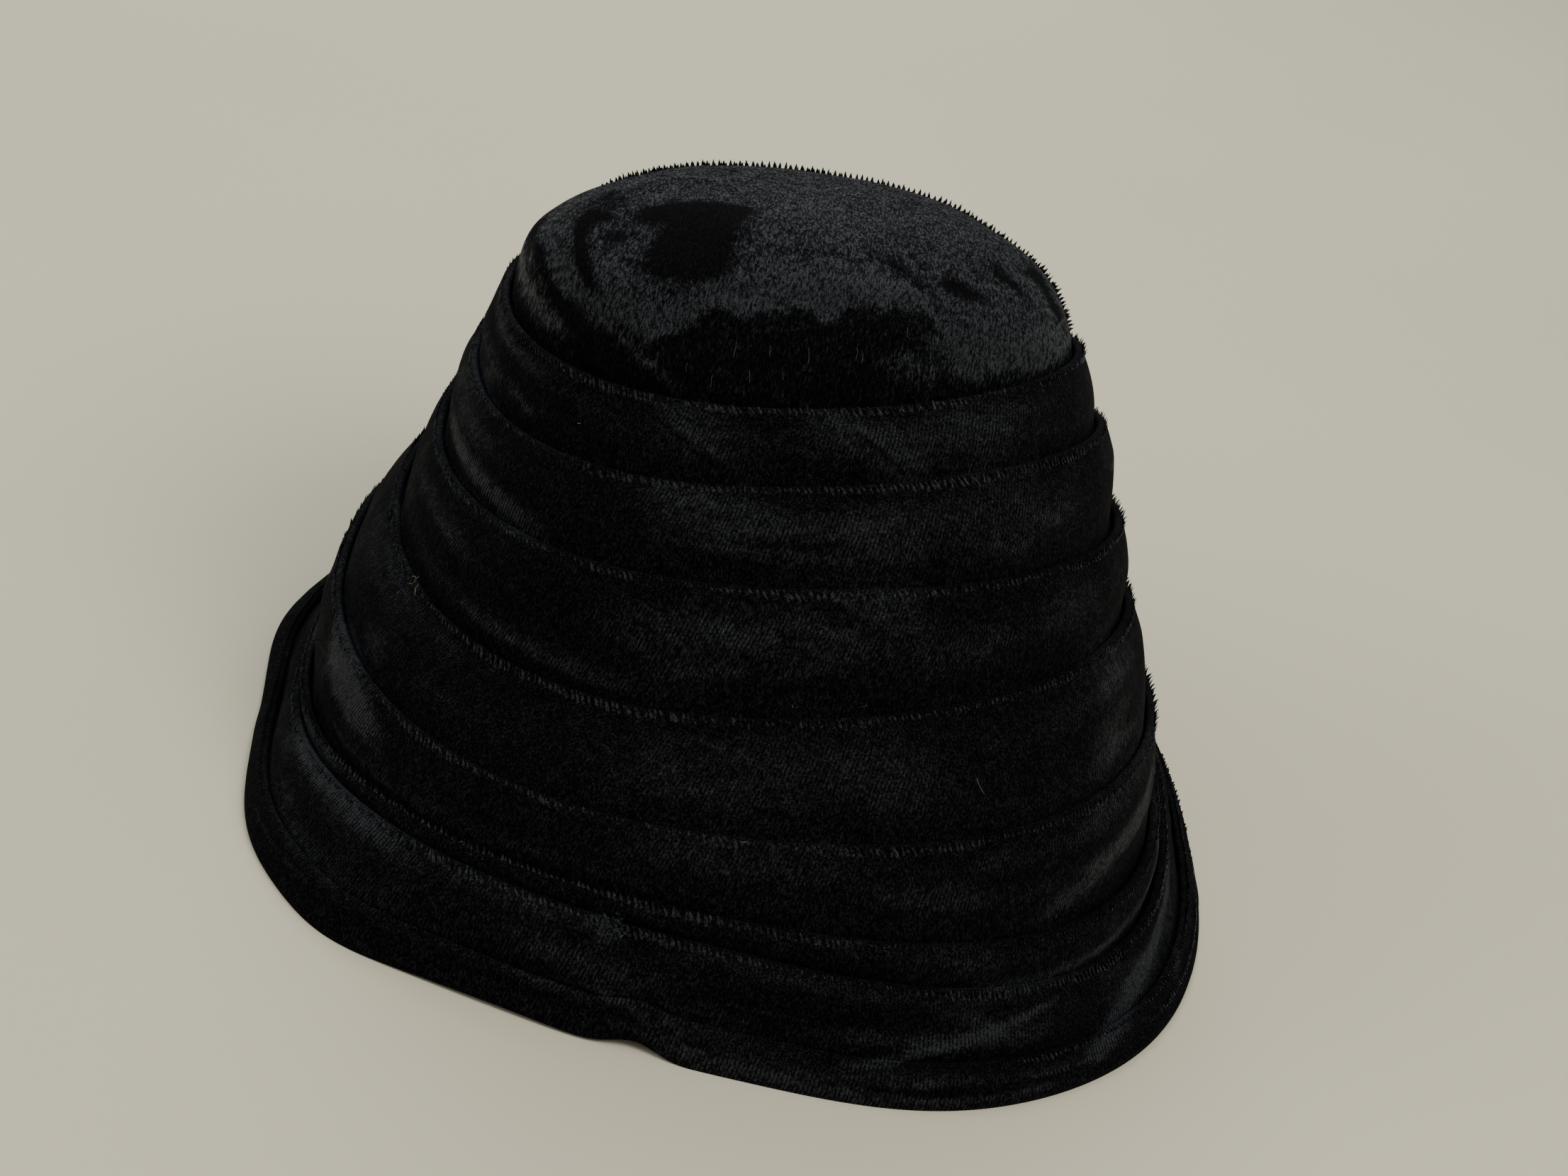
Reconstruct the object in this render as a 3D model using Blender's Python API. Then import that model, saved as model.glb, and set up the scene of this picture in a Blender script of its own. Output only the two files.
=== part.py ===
"""A black velvet hat, shaped as a tall turban: a domed crown tip over lapped bands that flare into a brim.

The hat stands on its rim with +Z up. The side where the bands are joined faces -Y, and +X is to its right.
Every band is a cloth wall that follows one smooth bell surface, set by a table of seam lines.
"""

from collections import namedtuple

import bpy
import numpy as np

MM = 0.001

# Cloth
WALL = 2.4 * MM  # a folded bias band with its interlining
GAP = 0.3 * MM  # clearance between lapped bands
LAP = 6.5 * MM  # how far a piece runs down inside the band below it
TUCK = 0.6 * MM  # how far its lower edge leans in there
MOST_LAP = 0.45  # the most of a band's height that this takes up
PUFF = 1.3 * MM  # how far the middle of a band swells
BINDING = 8.0 * MM  # height of the strip round the rim
BRIM_CLEARANCE = 0.5 * MM  # how far the brim's hidden edge stays above what the hat rests on
BINDING_SWELL = 0.5 * MM  # how far the middle of the binding swells
FOOT_ROUNDING = 0.3 * MM  # how far the binding narrows to its foot, on each side
FOOT_HEIGHT = 0.4 * MM  # how far its other edges stay above the foot

# Plan of the hat, from the rim up to the crown
RIM_DEPTH_RATIO = 1.08
CROWN_DEPTH_RATIO = 1.15
RIM_SQUARENESS = 2.6
CROWN_SQUARENESS = 2.1
SQUARE_FADE = 40.0 * MM  # height over which the rim's squareness fades
OVAL_HEIGHT = 131.0 * MM  # from here up the plan is as deep for its width as the crown
OVAL_RISE = 0.6  # how early it gets there: 1 is evenly, less is sooner
FORWARD_LEAN = 0.17  # how far the bell leans forward for each unit of height
LOWEST_SEAM = 8.5 * MM  # no seam comes nearer to the rim than this
SEAM_SOFTNESS = 1.5 * MM
LEAST_LIFT = 0.2 * MM  # the rim's waves rest flat below this

# Dome of the crown tip
DOME_HEIGHT = 38.0 * MM
DOME_FULLNESS = 2.6
DOME_ROUNDNESS = 2.0

# Facets
PLAIN_STEPS = 54  # round the hat, before the extra ones at the join
JOIN_ANGLE = -98.0  # degrees, where the bands are joined
JOIN_STEPS = (-5.0, -2.0, 2.0, 5.0)  # extra degrees round the join
DOME_STEPS = 8
BAND_STEPS = (0.25, 0.6)  # shares of the way down a band; the first is left out inside
BRIM_STEPS = (0.15, 0.35, 0.55, 0.75)  # shares of the way down the brim
BINDING_STEPS = (0.15, 0.5, 0.85)  # shares of the way down the binding
BINDING_FOOT = 0.02  # share of the binding's height between its foot and the rim line
SLOPE_STEP = 0.02  # seams up and down over which the bell's slope is measured
CREASE_ANGLE = 50.0  # degrees; facets that meet more sharply are shaded apart

# Height of each seam at the back, right, front and left, in millimetres. Twist lifts one diagonal.
Seam = namedtuple("Seam", "back right front left half_width shift_x twist")
SEAMS = (
    Seam(143, 143, 115, 126, 77.2, -15.5, -4.0),
    Seam(127, 124.5, 97, 107.5, 85.0, -12.5, -6.0),
    Seam(106, 100, 76, 87, 93.7, -9.5, -5.5),
    Seam(75, 79, 51, 65.5, 101.6, -9.0, -6.5),
    Seam(51, 51.5, 31, 44, 114.3, -7.7, -4.0),
    Seam(33, 25, 22, 16.5, 120.3, -5.6, 0.5),
    Seam(27, 17, 15, 8.5, 123.6, -3.7, 5.0),
    Seam(0, 0, 0, 0, 134.8, 0, 0),
)

# Folds that sweep round the left of the crown tip, from the shoulder towards the back
Fold = namedtuple("Fold", "start_angle end_angle start_rise end_rise width height")
CROWN_FOLDS = (
    Fold(-178, -100, 0.80, 0.15, 0.10, 1.8),
    Fold(-170, -125, 0.55, 0.10, 0.09, 1.4),
    Fold(-185, -120, 0.95, 0.45, 0.09, 1.5),
)
FOLD_REACH = 1.15  # where a fold has run out, counted from its middle in half lengths
FOLD_FADE = 0.3  # over how many half lengths it runs out

# Soft waves of the rim: where it swings out, and where it lifts off the surface under it
Wave = namedtuple("Wave", "angle spread out lift")
RIM_WAVES = (
    Wave(-144, 15, 5.5, 0.0),
    Wave(-131, 7, 3.0, 0.0),
    Wave(-113, 13, -2.5, 1.5),
    Wave(JOIN_ANGLE, 3.5, -2.0, 2.5),
    Wave(-68, 15, 3.0, 0.0),
    Wave(18, 15, -2.5, 1.5),
    Wave(75, 25, 0.0, 2.5),
    Wave(172, 14, 6.0, 0.0),
)

# Soft ridges (out) and hollows (out below 0) of the bell, placed by angle and by seams down from the crown
Drape = namedtuple("Drape", "angle seams_down spread height out")
DRAPES = (
    Drape(-62, 6.55, 12, 0.14, 2.2),
    Drape(-66, 6.80, 9, 0.09, 1.2),
    Drape(-84, 6.30, 12, 0.14, 1.8),
    Drape(-72, 6.42, 10, 0.10, -1.2),
    Drape(JOIN_ANGLE, 6.15, 4, 0.20, -1.6),
    Drape(-106, 6.50, 8, 0.16, 1.6),
    Drape(-140, 6.70, 16, 0.14, 1.6),
    Drape(-20, 6.35, 16, 0.20, -1.4),
    Drape(-156, 3.50, 14, 0.30, 1.5),
    Drape(-150, 4.55, 12, 0.25, 1.4),
)

VELVET = (0.006, 0.006, 0.007, 1.0)
VELVET_ROUGHNESS = 0.85


def angles_round():
    """Angles of the facets in radians, evenly spaced, with a few more close to the join."""
    even = np.linspace(-180, 180, PLAIN_STEPS, endpoint=False)
    extra = JOIN_ANGLE + np.array(JOIN_STEPS)
    return np.radians(np.unique(np.concatenate([even, extra])))


def superellipse(theta, half_width, half_depth, squareness):
    """Plan outline between an ellipse (2) and a box (large squareness)."""
    c = np.cos(theta)
    s = np.sin(theta)
    reach = (np.abs(c) ** squareness + np.abs(s) ** squareness) ** (-1 / squareness)
    return half_width * reach * c, half_depth * reach * s


def bump(theta, angle, spread):
    """A bell curve round the hat, 1 at the angle and fading over the spread, both in degrees."""
    away = (np.degrees(theta) - angle + 180) % 360 - 180
    return np.exp(-((away / spread) ** 2))


def seam_line(seam, theta):
    """Points of a seam round the hat: the plan outline, with the four heights joined by cosines."""
    middle = MM * (seam.back + seam.right + seam.front + seam.left) / 4
    tip_x = MM * (seam.right - seam.left) / 2
    tip_y = MM * (seam.front - seam.back) / 2
    saddle = MM * (seam.right + seam.left - seam.front - seam.back) / 4
    climb = min(middle / OVAL_HEIGHT, 1.0)
    ratio = RIM_DEPTH_RATIO + (CROWN_DEPTH_RATIO - RIM_DEPTH_RATIO) * climb**OVAL_RISE
    square = CROWN_SQUARENESS + (RIM_SQUARENESS - CROWN_SQUARENESS) * np.exp(-middle / SQUARE_FADE)
    half = seam.half_width * MM
    x, y = superellipse(theta, half, half * ratio, square)
    z = middle + tip_x * np.cos(theta) + tip_y * np.sin(theta)
    z = z + saddle * np.cos(2 * theta) + MM * seam.twist * np.sin(2 * theta)
    over = z - LOWEST_SEAM
    z = LOWEST_SEAM + (over + np.sqrt(over**2 + 4 * SEAM_SOFTNESS**2)) / 2
    return np.stack([x + seam.shift_x * MM, y + FORWARD_LEAN * middle, z], axis=-1)


def rim_line(theta):
    """The lowest seam with its waves: out along the plan, and lifted where it doesn't rest."""
    line = seam_line(SEAMS[-1], theta)
    out = sum(w.out * MM * bump(theta, w.angle, w.spread) for w in RIM_WAVES)
    lift = sum(w.lift * MM * bump(theta, w.angle, w.spread) for w in RIM_WAVES)
    lift = np.maximum(lift - LEAST_LIFT, 0.0)
    reach = np.linalg.norm(line[:, :2], axis=1)
    line[:, :2] *= (1 + out / reach)[:, None]
    line[:, 2] = lift
    return line


def bell_lines(theta):
    """Every seam from the crown down to the rim."""
    lines = [seam_line(seam, theta) for seam in SEAMS[:-1]]
    return np.stack(lines + [rim_line(theta)])


def slope_at(lines, k):
    """The bell's direction across seam k, by unit of length: both spans' own, the shorter weighing more."""
    last = len(lines) - 1
    above = lines[max(k, 1)] - lines[max(k - 1, 0)]
    below = lines[min(k + 1, last)] - lines[min(k, last - 1)]
    long_above = np.linalg.norm(above, axis=1, keepdims=True)
    long_below = np.linalg.norm(below, axis=1, keepdims=True)
    return (above / long_above * long_below + below / long_below * long_above) / (long_above + long_below)


def bell(lines, u):
    """Bell surface at u seams down from the crown: a smooth cubic through the seam lines."""
    last = len(lines) - 1
    k = int(min(max(np.floor(u), 0), last - 1))
    t = u - k
    span = np.linalg.norm(lines[k + 1] - lines[k], axis=1, keepdims=True)
    return (
        (2 * t**3 - 3 * t**2 + 1) * lines[k]
        + (t**3 - 2 * t**2 + t) * span * slope_at(lines, k)
        + (3 * t**2 - 2 * t**3) * lines[k + 1]
        + (t**3 - t**2) * span * slope_at(lines, k + 1)
    )


def drape(theta, u):
    """How far the cloth stands out at u seams down from the crown, as the sum of its ridges and hollows."""
    total = np.zeros_like(theta)
    for d in DRAPES:
        across = np.exp(-(((u - d.seams_down) / d.height) ** 2))
        total += MM * d.out * bump(theta, d.angle, d.spread) * across
    return total


def off_bell(lines, u, offset):
    """Points at an offset out from the bell surface, along its normal, with the drape added."""
    here = bell(lines, u)
    down = bell(lines, u + SLOPE_STEP) - bell(lines, u - SLOPE_STEP)
    along = np.roll(here, -1, axis=0) - np.roll(here, 1, axis=0)
    normal = np.cross(down, along)
    normal /= np.linalg.norm(normal, axis=1, keepdims=True)
    return here + normal * (offset + drape(angles_round(), u))[:, None]


def band_face(v):
    """Offset of a band's outer face, v down from its folded edge: it stands proud, swells and tucks in."""
    return (GAP + WALL) * (1 - v**1.5) + PUFF * np.sin(np.pi * v)


def seam_gap(lines, k):
    """Mean length of the bell between seam k and the next."""
    return np.linalg.norm(lines[k + 1] - lines[k], axis=1).mean()


def lap_share(lines, k):
    """Share of band k's height that the piece above runs down inside it, less where the band is narrow."""
    return min(LAP / seam_gap(lines, k), MOST_LAP)


def closed_wall(rows):
    """Faces of a wall whose profile rows close on themselves, round the hat."""
    count, round_count = rows.shape[:2]
    index = np.arange(count * round_count).reshape(count, round_count)
    below = np.roll(index, -1, axis=0)
    quads = np.stack([index, below, np.roll(below, -1, axis=1), np.roll(index, -1, axis=1)], axis=-1)
    return rows.reshape(-1, 3), quads.reshape(-1, 4)


def band_rows(lines, k):
    """Profile of the band below seam k: folded edge, outer face, tail inside the next band, inner face."""
    length = seam_gap(lines, k)
    tail = lap_share(lines, k + 1)
    nose = WALL / 2 / length
    outer = [(k + v, band_face(v)) for v in (nose, *BAND_STEPS)]
    outer += [(k + 1, 0.0), (k + 1 + tail, -TUCK)]
    inner = [(u, offset - WALL) for u, offset in outer if u != k + BAND_STEPS[0]]
    profile = [(k, GAP + WALL / 2)] + outer + inner[::-1]
    return np.stack([off_bell(lines, u, offset) for u, offset in profile])


def make_object(name, points, faces):
    """A smooth-shaded object with its own velvet."""
    mesh = bpy.data.meshes.new(name)
    mesh.from_pydata(points.tolist(), [], [list(face) for face in faces])
    mesh.validate()
    mesh.shade_smooth()
    mesh.set_sharp_from_angle(angle=np.radians(CREASE_ANGLE))
    obj = bpy.data.objects.new(name, mesh)
    velvet = bpy.data.materials.new(name + "_velvet")
    velvet.use_nodes = True
    shader = velvet.node_tree.nodes["Principled BSDF"]
    shader.inputs["Base Color"].default_value = VELVET
    shader.inputs["Roughness"].default_value = VELVET_ROUGHNESS
    shader.inputs["Metallic"].default_value = 0.0
    mesh.materials.append(velvet)
    bpy.context.scene.collection.objects.link(obj)
    return obj


def make_band(name, lines, k):
    """A bias band, folded along its top edge and lapped over the piece above."""
    points, faces = closed_wall(band_rows(lines, k))
    return make_object(name, points, faces)


def binding_start(lines):
    """How far down the brim, in seams, the binding's folded edge lies."""
    last = len(SEAMS) - 1
    return last - BINDING / seam_gap(lines, last - 1)


def make_brim(lines):
    """The flared band: like the others, but its tail ends inside the binding."""
    k = len(SEAMS) - 2
    start = binding_start(lines)
    drop = start - k
    length = seam_gap(lines, k) * drop
    tail = start + 0.5 * (k + 1 - start)
    outer = [(k + v * drop, band_face(v)) for v in (WALL / 2 / length, *BRIM_STEPS)]
    outer += [(start, 0.0), (tail, -TUCK)]
    inner = [(u, offset - WALL) for u, offset in reversed(outer)]
    profile = [(k, GAP + WALL / 2)] + outer + inner
    rows = np.stack([off_bell(lines, u, offset) for u, offset in profile])
    rows[:, :, 2] = np.maximum(rows[:, :, 2], BRIM_CLEARANCE)
    points, faces = closed_wall(rows)
    return make_object("brim_band", points, faces)


def make_binding(lines):
    """The strip round the rim: a folded edge at its top, and a narrow flat foot to rest on."""
    start = binding_start(lines)
    last = len(SEAMS) - 1
    drop = last - start
    foot = last - BINDING_FOOT * drop
    proud = GAP + WALL
    swells = (0.0, BINDING_SWELL, 0.0)
    outer = [(start + v * drop, proud + swell) for v, swell in zip(BINDING_STEPS, swells)]
    inner = [(start + v * drop, GAP) for v in reversed(BINDING_STEPS)]
    feet = [(foot, proud - FOOT_ROUNDING), (foot, GAP + FOOT_ROUNDING)]
    profile = [(start, GAP + WALL / 2)] + outer + feet + inner
    rows = np.stack([off_bell(lines, u, offset) for u, offset in profile])
    lift = lines[last][:, 2]
    rows[:, :, 2] = np.maximum(rows[:, :, 2], lift + FOOT_HEIGHT)
    first_foot = 1 + len(outer)
    rows[first_foot : first_foot + len(feet), :, 2] = lift
    points, faces = closed_wall(rows)
    return make_object("rim_binding", points, faces)


def fold_height(theta, rise):
    """Height of the crown's folds: each is a ridge along a line that falls as it goes round."""
    total = np.zeros_like(theta)
    for fold in CROWN_FOLDS:
        start = fold.start_angle
        along = ((np.degrees(theta) - start + 180) % 360 - 180) / (fold.end_angle - start)
        line = fold.start_rise + (fold.end_rise - fold.start_rise) * along
        inside = np.clip(FOLD_REACH - np.abs(2 * along - 1), 0, FOLD_FADE) / FOLD_FADE
        total += MM * fold.height * inside * np.exp(-(((rise - line) / fold.width) ** 2))
    return total


def dome_row(lines, theta, turn, inset):
    """Ring of the dome at a turn of 0 at its wall to 1 at its middle, set in from the outer face.

    Width and height follow a superellipse: full at the wall, rounded at the shoulder, and nearly flat on top.
    """
    seam = lines[0]
    centre = seam.mean(axis=0)
    rise = np.sin(turn * np.pi / 2) ** (2 / DOME_ROUNDNESS)
    reach = np.cos(turn * np.pi / 2) ** (2 / DOME_FULLNESS)
    inset = inset - fold_height(theta, np.full_like(theta, rise)) * (1 - turn**4)
    spoke = seam - centre
    tilt_x = (SEAMS[0].right - SEAMS[0].left) / (2 * SEAMS[0].half_width)
    tilt_y = (SEAMS[0].front - SEAMS[0].back) / (2 * SEAMS[0].half_width * CROWN_DEPTH_RATIO)
    axis = np.array([-tilt_x, -tilt_y, 1.0])
    axis /= np.linalg.norm(axis)
    level = spoke[:, 0] * tilt_x + spoke[:, 1] * tilt_y
    spoke[:, 2] = level + (spoke[:, 2] - level) * (1 - rise) ** 2
    length = np.linalg.norm(spoke, axis=1, keepdims=True)
    spoke = spoke * (1 - inset[:, None] / length) * reach
    return centre + spoke + axis * (DOME_HEIGHT - inset[:, None]) * rise


def make_crown(lines, theta):
    """The crown tip: tail inside the first band, wall, shoulder and top, then the same again inside."""
    tail = lap_share(lines, 0)
    turns = np.linspace(0, 1, DOME_STEPS + 1)[1:-1]
    none = np.zeros_like(theta)
    outer = [off_bell(lines, tail, -TUCK), lines[0]]
    outer += [dome_row(lines, theta, turn, none) for turn in turns]
    inner = [off_bell(lines, tail, -TUCK - WALL), dome_row(lines, theta, 0.0, none + WALL)]
    inner += [dome_row(lines, theta, turn, none + WALL) for turn in turns]
    top = dome_row(lines, theta, 1.0, none).mean(axis=0)
    rows = np.stack(outer + inner[::-1])
    count, round_count = rows.shape[:2]
    half = count // 2
    index = np.arange(count * round_count).reshape(count, round_count)
    side = np.roll(index, -1, axis=1)
    faces = []
    for row in range(count - 1):
        if row == half - 1:
            continue
        faces += np.stack([index[row], side[row], side[row + 1], index[row + 1]], axis=-1).tolist()
    faces += np.stack([index[-1], side[-1], side[0], index[0]], axis=-1).tolist()
    outer_pole = count * round_count
    inner_pole = outer_pole + 1
    faces += [[a, b, outer_pole] for a, b in zip(index[half - 1].tolist(), side[half - 1].tolist())]
    faces += [[b, a, inner_pole] for a, b in zip(index[half].tolist(), side[half].tolist())]
    axis_drop = np.array([0, 0, WALL])
    points = np.concatenate([rows.reshape(-1, 3), [top, top - axis_drop]])
    return make_object("crown_tip", points, faces)


def centre_over_origin(objects):
    """Moves every piece so that the middle of the hat's box lies over the origin."""
    corners = np.array([v.co[:] for obj in objects for v in obj.data.vertices])
    middle = (corners.min(axis=0) + corners.max(axis=0)) / 2
    for obj in objects:
        for vertex in obj.data.vertices:
            vertex.co.x -= middle[0]
            vertex.co.y -= middle[1]


def main():
    """Clears the scene and makes every piece of the hat, from the crown down."""
    for obj in list(bpy.data.objects):
        bpy.data.objects.remove(obj)
    theta = angles_round()
    lines = bell_lines(theta)
    pieces = [make_crown(lines, theta)]
    for k in range(len(SEAMS) - 2):
        pieces.append(make_band(f"band_{k + 1}", lines, k))
    pieces.append(make_brim(lines))
    pieces.append(make_binding(lines))
    centre_over_origin(pieces)


main()
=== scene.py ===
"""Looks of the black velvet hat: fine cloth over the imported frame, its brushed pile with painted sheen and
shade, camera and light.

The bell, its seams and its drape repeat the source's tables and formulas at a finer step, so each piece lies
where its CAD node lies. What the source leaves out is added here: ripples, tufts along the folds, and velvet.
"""

from collections import namedtuple

import bpy
import numpy as np
from mathutils import Matrix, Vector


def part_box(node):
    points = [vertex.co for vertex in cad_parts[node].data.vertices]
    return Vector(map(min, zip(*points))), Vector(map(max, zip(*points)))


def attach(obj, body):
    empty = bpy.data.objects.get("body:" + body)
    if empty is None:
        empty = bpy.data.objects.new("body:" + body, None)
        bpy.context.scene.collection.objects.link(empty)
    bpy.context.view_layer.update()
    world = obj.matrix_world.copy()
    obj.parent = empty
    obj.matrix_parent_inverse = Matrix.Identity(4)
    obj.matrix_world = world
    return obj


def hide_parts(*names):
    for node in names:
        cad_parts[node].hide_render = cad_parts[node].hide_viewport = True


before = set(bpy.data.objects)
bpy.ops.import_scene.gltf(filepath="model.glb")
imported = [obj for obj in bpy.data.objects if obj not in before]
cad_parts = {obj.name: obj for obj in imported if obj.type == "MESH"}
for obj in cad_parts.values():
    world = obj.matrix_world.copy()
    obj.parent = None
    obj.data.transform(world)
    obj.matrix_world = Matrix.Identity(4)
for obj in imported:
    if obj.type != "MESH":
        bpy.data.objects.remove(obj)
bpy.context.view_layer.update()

MM = 0.001

# Cloth, as in the source
WALL = 2.4 * MM
GAP = 0.3 * MM
LAP = 6.5 * MM
TUCK = 0.6 * MM
MOST_LAP = 0.45
PUFF = 1.3 * MM
BINDING = 8.0 * MM
BRIM_CLEARANCE = 0.5 * MM

# Plan of the hat, as in the source
RIM_DEPTH_RATIO = 1.08
CROWN_DEPTH_RATIO = 1.15
RIM_SQUARENESS = 2.6
CROWN_SQUARENESS = 2.1
SQUARE_FADE = 40.0 * MM
FORWARD_LEAN = 0.17
LOWEST_SEAM = 8.5 * MM
SEAM_SOFTNESS = 1.5 * MM
DOME_HEIGHT = 38.0 * MM
DOME_FULLNESS = 2.6
DOME_ROUNDNESS = 2.0
JOIN_ANGLE = -98.0

# Height of each seam at the back, right, front and left, in millimetres
Seam = namedtuple("Seam", "back right front left half_width shift_x twist")
SEAMS = [Seam(*row) for row in (
    (143, 143, 115, 126, 77.2, -15.5, -4.0),
    (127, 124.5, 97, 107.5, 85.0, -12.5, -6.0),
    (106, 100, 76, 87, 93.7, -9.5, -5.5),
    (75, 79, 51, 65.5, 101.6, -9.0, -6.5),
    (51, 51.5, 31, 44, 114.3, -7.7, -4.0),
    (33, 25, 22, 16.5, 120.3, -5.6, 0.5),
    (27, 17, 15, 8.5, 123.6, -3.7, 5.0),
    (0, 0, 0, 0, 134.8, 0, 0),
)]
BANDS = len(SEAMS) - 2

Fold = namedtuple("Fold", "start_angle end_angle start_rise end_rise width height")
CROWN_FOLDS = [Fold(*row) for row in (
    (-178, -100, 0.80, 0.15, 0.10, 1.8),
    (-170, -125, 0.55, 0.10, 0.09, 1.4),
    (-185, -120, 0.95, 0.45, 0.09, 1.5),
)]

Wave = namedtuple("Wave", "angle spread out lift")
RIM_WAVES = [Wave(*row) for row in (
    (-144, 15, 5.5, 0.0),
    (-131, 7, 3.0, 0.0),
    (-113, 13, -2.5, 1.5),
    (JOIN_ANGLE, 3.5, -2.0, 2.5),
    (-68, 15, 3.0, 0.0),
    (18, 15, -2.5, 1.5),
    (75, 25, 0.0, 2.5),
    (172, 14, 6.0, 0.0),
)]

# A soft oval on the cloth: where its middle lies, its spread round and height up, its size and its slope. A
# place is counted in seams down from the crown or, on the crown tip, in turns up its dome
Mark = namedtuple("Mark", "angle place spread height size slope", defaults=(0.0,))
# Ridges and hollows of the cloth, in millimetres, as in the source
DRAPES = [Mark(*row) for row in (
    (-62, 6.55, 12, 0.14, 2.2),
    (-66, 6.80, 9, 0.09, 1.2),
    (-84, 6.30, 12, 0.14, 1.8),
    (-72, 6.42, 10, 0.10, -1.2),
    (JOIN_ANGLE, 6.15, 4, 0.20, -1.6),
    (-106, 6.50, 8, 0.16, 1.6),
    (-140, 6.70, 16, 0.14, 1.6),
    (-20, 6.35, 16, 0.20, -1.4),
    (-156, 3.50, 14, 0.30, 1.5),
    (-150, 4.55, 12, 0.25, 1.4),
)]

# Finer ridges and creases, in millimetres, which only the visual model has
CREASES = [Mark(*row) for row in (
    (-165, 1.45, 22, 0.10, 0.8, 0.004),
    (-158, 1.75, 20, 0.08, 0.6, 0.005),
    (-150, 0.30, 20, 0.12, 0.7, 0.005),
    (-160, 0.62, 18, 0.10, 0.7, 0.004),
    (-130, 2.86, 26, 0.10, 0.9, 0.001),
    (-150, 2.45, 16, 0.10, 0.6, 0.004),
    (-122, 4.80, 22, 0.16, 0.9, 0.002),
    (-44, 2.60, 22, 0.14, 0.7, -0.003),
    (-30, 3.35, 20, 0.12, 0.8, -0.004),
    (-28, 3.72, 18, 0.10, -0.7, -0.004),
    (-40, 4.30, 22, 0.12, 0.8, -0.003),
    (-34, 4.62, 20, 0.10, 0.8, -0.003),
    (-52, 5.40, 20, 0.30, 0.7),
    (-80, 6.18, 14, 0.07, 0.8),
    (-108, 6.72, 9, 0.06, 0.7),
    (-102, 6.66, 3, 0.05, 0.9, 0.03),
    (-99.5, 6.18, 1.8, 0.20, -1.2),
    (-62, 6.86, 16, 0.05, 0.8),
    (-94, 2.45, 10, 0.08, 0.5, 0.01),
    (-84, 2.70, 9, 0.07, 0.5, -0.01),
    (-98, 1.70, 18, 0.07, 0.5, 0.002),
    (-88, 0.60, 10, 0.10, 0.4, 0.012),
    (-70, 0.45, 10, 0.10, 0.4, 0.014),
)]

# The side that the photo doesn't show gets as many marks, drawn from a seed
FAR_SIDE_CREASES = 16
FAR_SIDE_STREAKS = 44
FAR_SIDE_SEED = 8

# Soft dents and swells of the crown tip, in millimetres
CROWN_DENTS = [Mark(*row) for row in (
    (-30, 0.50, 13, 0.05, -0.9),
    (-48, 0.47, 10, 0.05, -0.8),
    (-14, 0.46, 8, 0.05, -0.7),
    (-62, 0.56, 12, 0.06, -0.6),
    (-66, 0.13, 7, 0.06, 0.8),
    (-74, 0.16, 3, 0.08, -0.8),
    (-56, 0.13, 3, 0.07, -0.7),
    (-174, 0.32, 22, 0.16, 2.4),
    (-122, 0.55, 25, 0.12, -0.9),
    (-150, 0.45, 7, 0.10, -0.8),
    (-90, 0.40, 40, 0.05, -0.7),
    (-100, 0.15, 10, 0.10, -0.4),
)]

# Steps of the visual meshes
ROUND_STEPS = 840
FACE_STEPS = 17
NOSE_STEPS = 5
DOME_STEPS = 66

# Ripples of the cloth: how many, how long and how high
RIPPLES = 14
RIPPLE_LENGTHS = (14.0 * MM, 52.0 * MM)
RIPPLE_HEIGHT = 0.10 * MM
PUCKER_PITCH = 6.4 * MM
PUCKER_RADIUS = 100.0 * MM
PUCKER_HEIGHT = 0.16 * MM
CROWN_SEED = 5
BAND_SEED = 21
BRIM_SEED = 41
BINDING_SEED = 47

# Tufts of pile that stand between the stitches of each fold
TUFT_PITCH = 1.62 * MM
TUFT_LENGTH = 2.9 * MM
TUFT_WIDTH = 0.95 * MM
TUFT_STAND = 0.85 * MM
TUFT_LEAN = -26.0
# Least and most of a tuft's length, width and stand, as shares, and how unevenly it leans, in degrees
LENGTH_SHARES = (0.75, 1.2)
WIDTH_SHARES = (0.75, 1.15)
STAND_SHARES = (0.5, 1.3)
LEAN_SPREAD = 8
RIGHT_SIDE_STAND = 0.7  # how much further the tufts stand out on the right, where the cloth turns away
TUFT_SEED = 11
TUFT_RINGS = ((0.0, 0.7), (0.35, 1.0), (0.7, 0.75), (1.0, 0.12))  # share up the blade, girth there
TUFT_FLATNESS = 0.32
# Where the crown's pile stands up on its far side: an angle and a turn for each point of the line
TEETH_LINE = (
    (-6, 0.12), (0, 0.22), (12, 0.42), (24, 0.56), (36, 0.64), (48, 0.70),
    (72, 0.74), (108, 0.74), (132, 0.68), (144, 0.62), (156, 0.52),
)
TEETH_ROWS = (0.0, 0.03, 0.06)  # how much lower each row lies, in turns
TEETH_STAND = 1.8 * MM
TEETH_WIDTH = 1.0 * MM
TEETH_SHORTER = 0.3  # how much shorter each next row is
# Where the tufts of the join run: an angle and seams down for each point of the line
JOIN_LINE = ((-98, 6.04), (-94, 6.12), (-88, 6.22), (-76, 6.30))
JOIN_ENDS = (-99.0, -77.0)

# Camera, from the photo's outline
CAMERA_UP = 25.7
CAMERA_ROUND = -3.7
CAMERA_ROLL = 14.0
CAMERA_DISTANCE = 0.80
CAMERA_AIM = (0.0, 0.0, 0.08)
PHOTO_WIDTH = 2212
FOCAL_PIXELS = 4022.0
AIM_RIGHT_PIXELS = 9.8
AIM_UP_PIXELS = 87.0
SENSOR = 36.0


# Shape of the bell, as in the source


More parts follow.
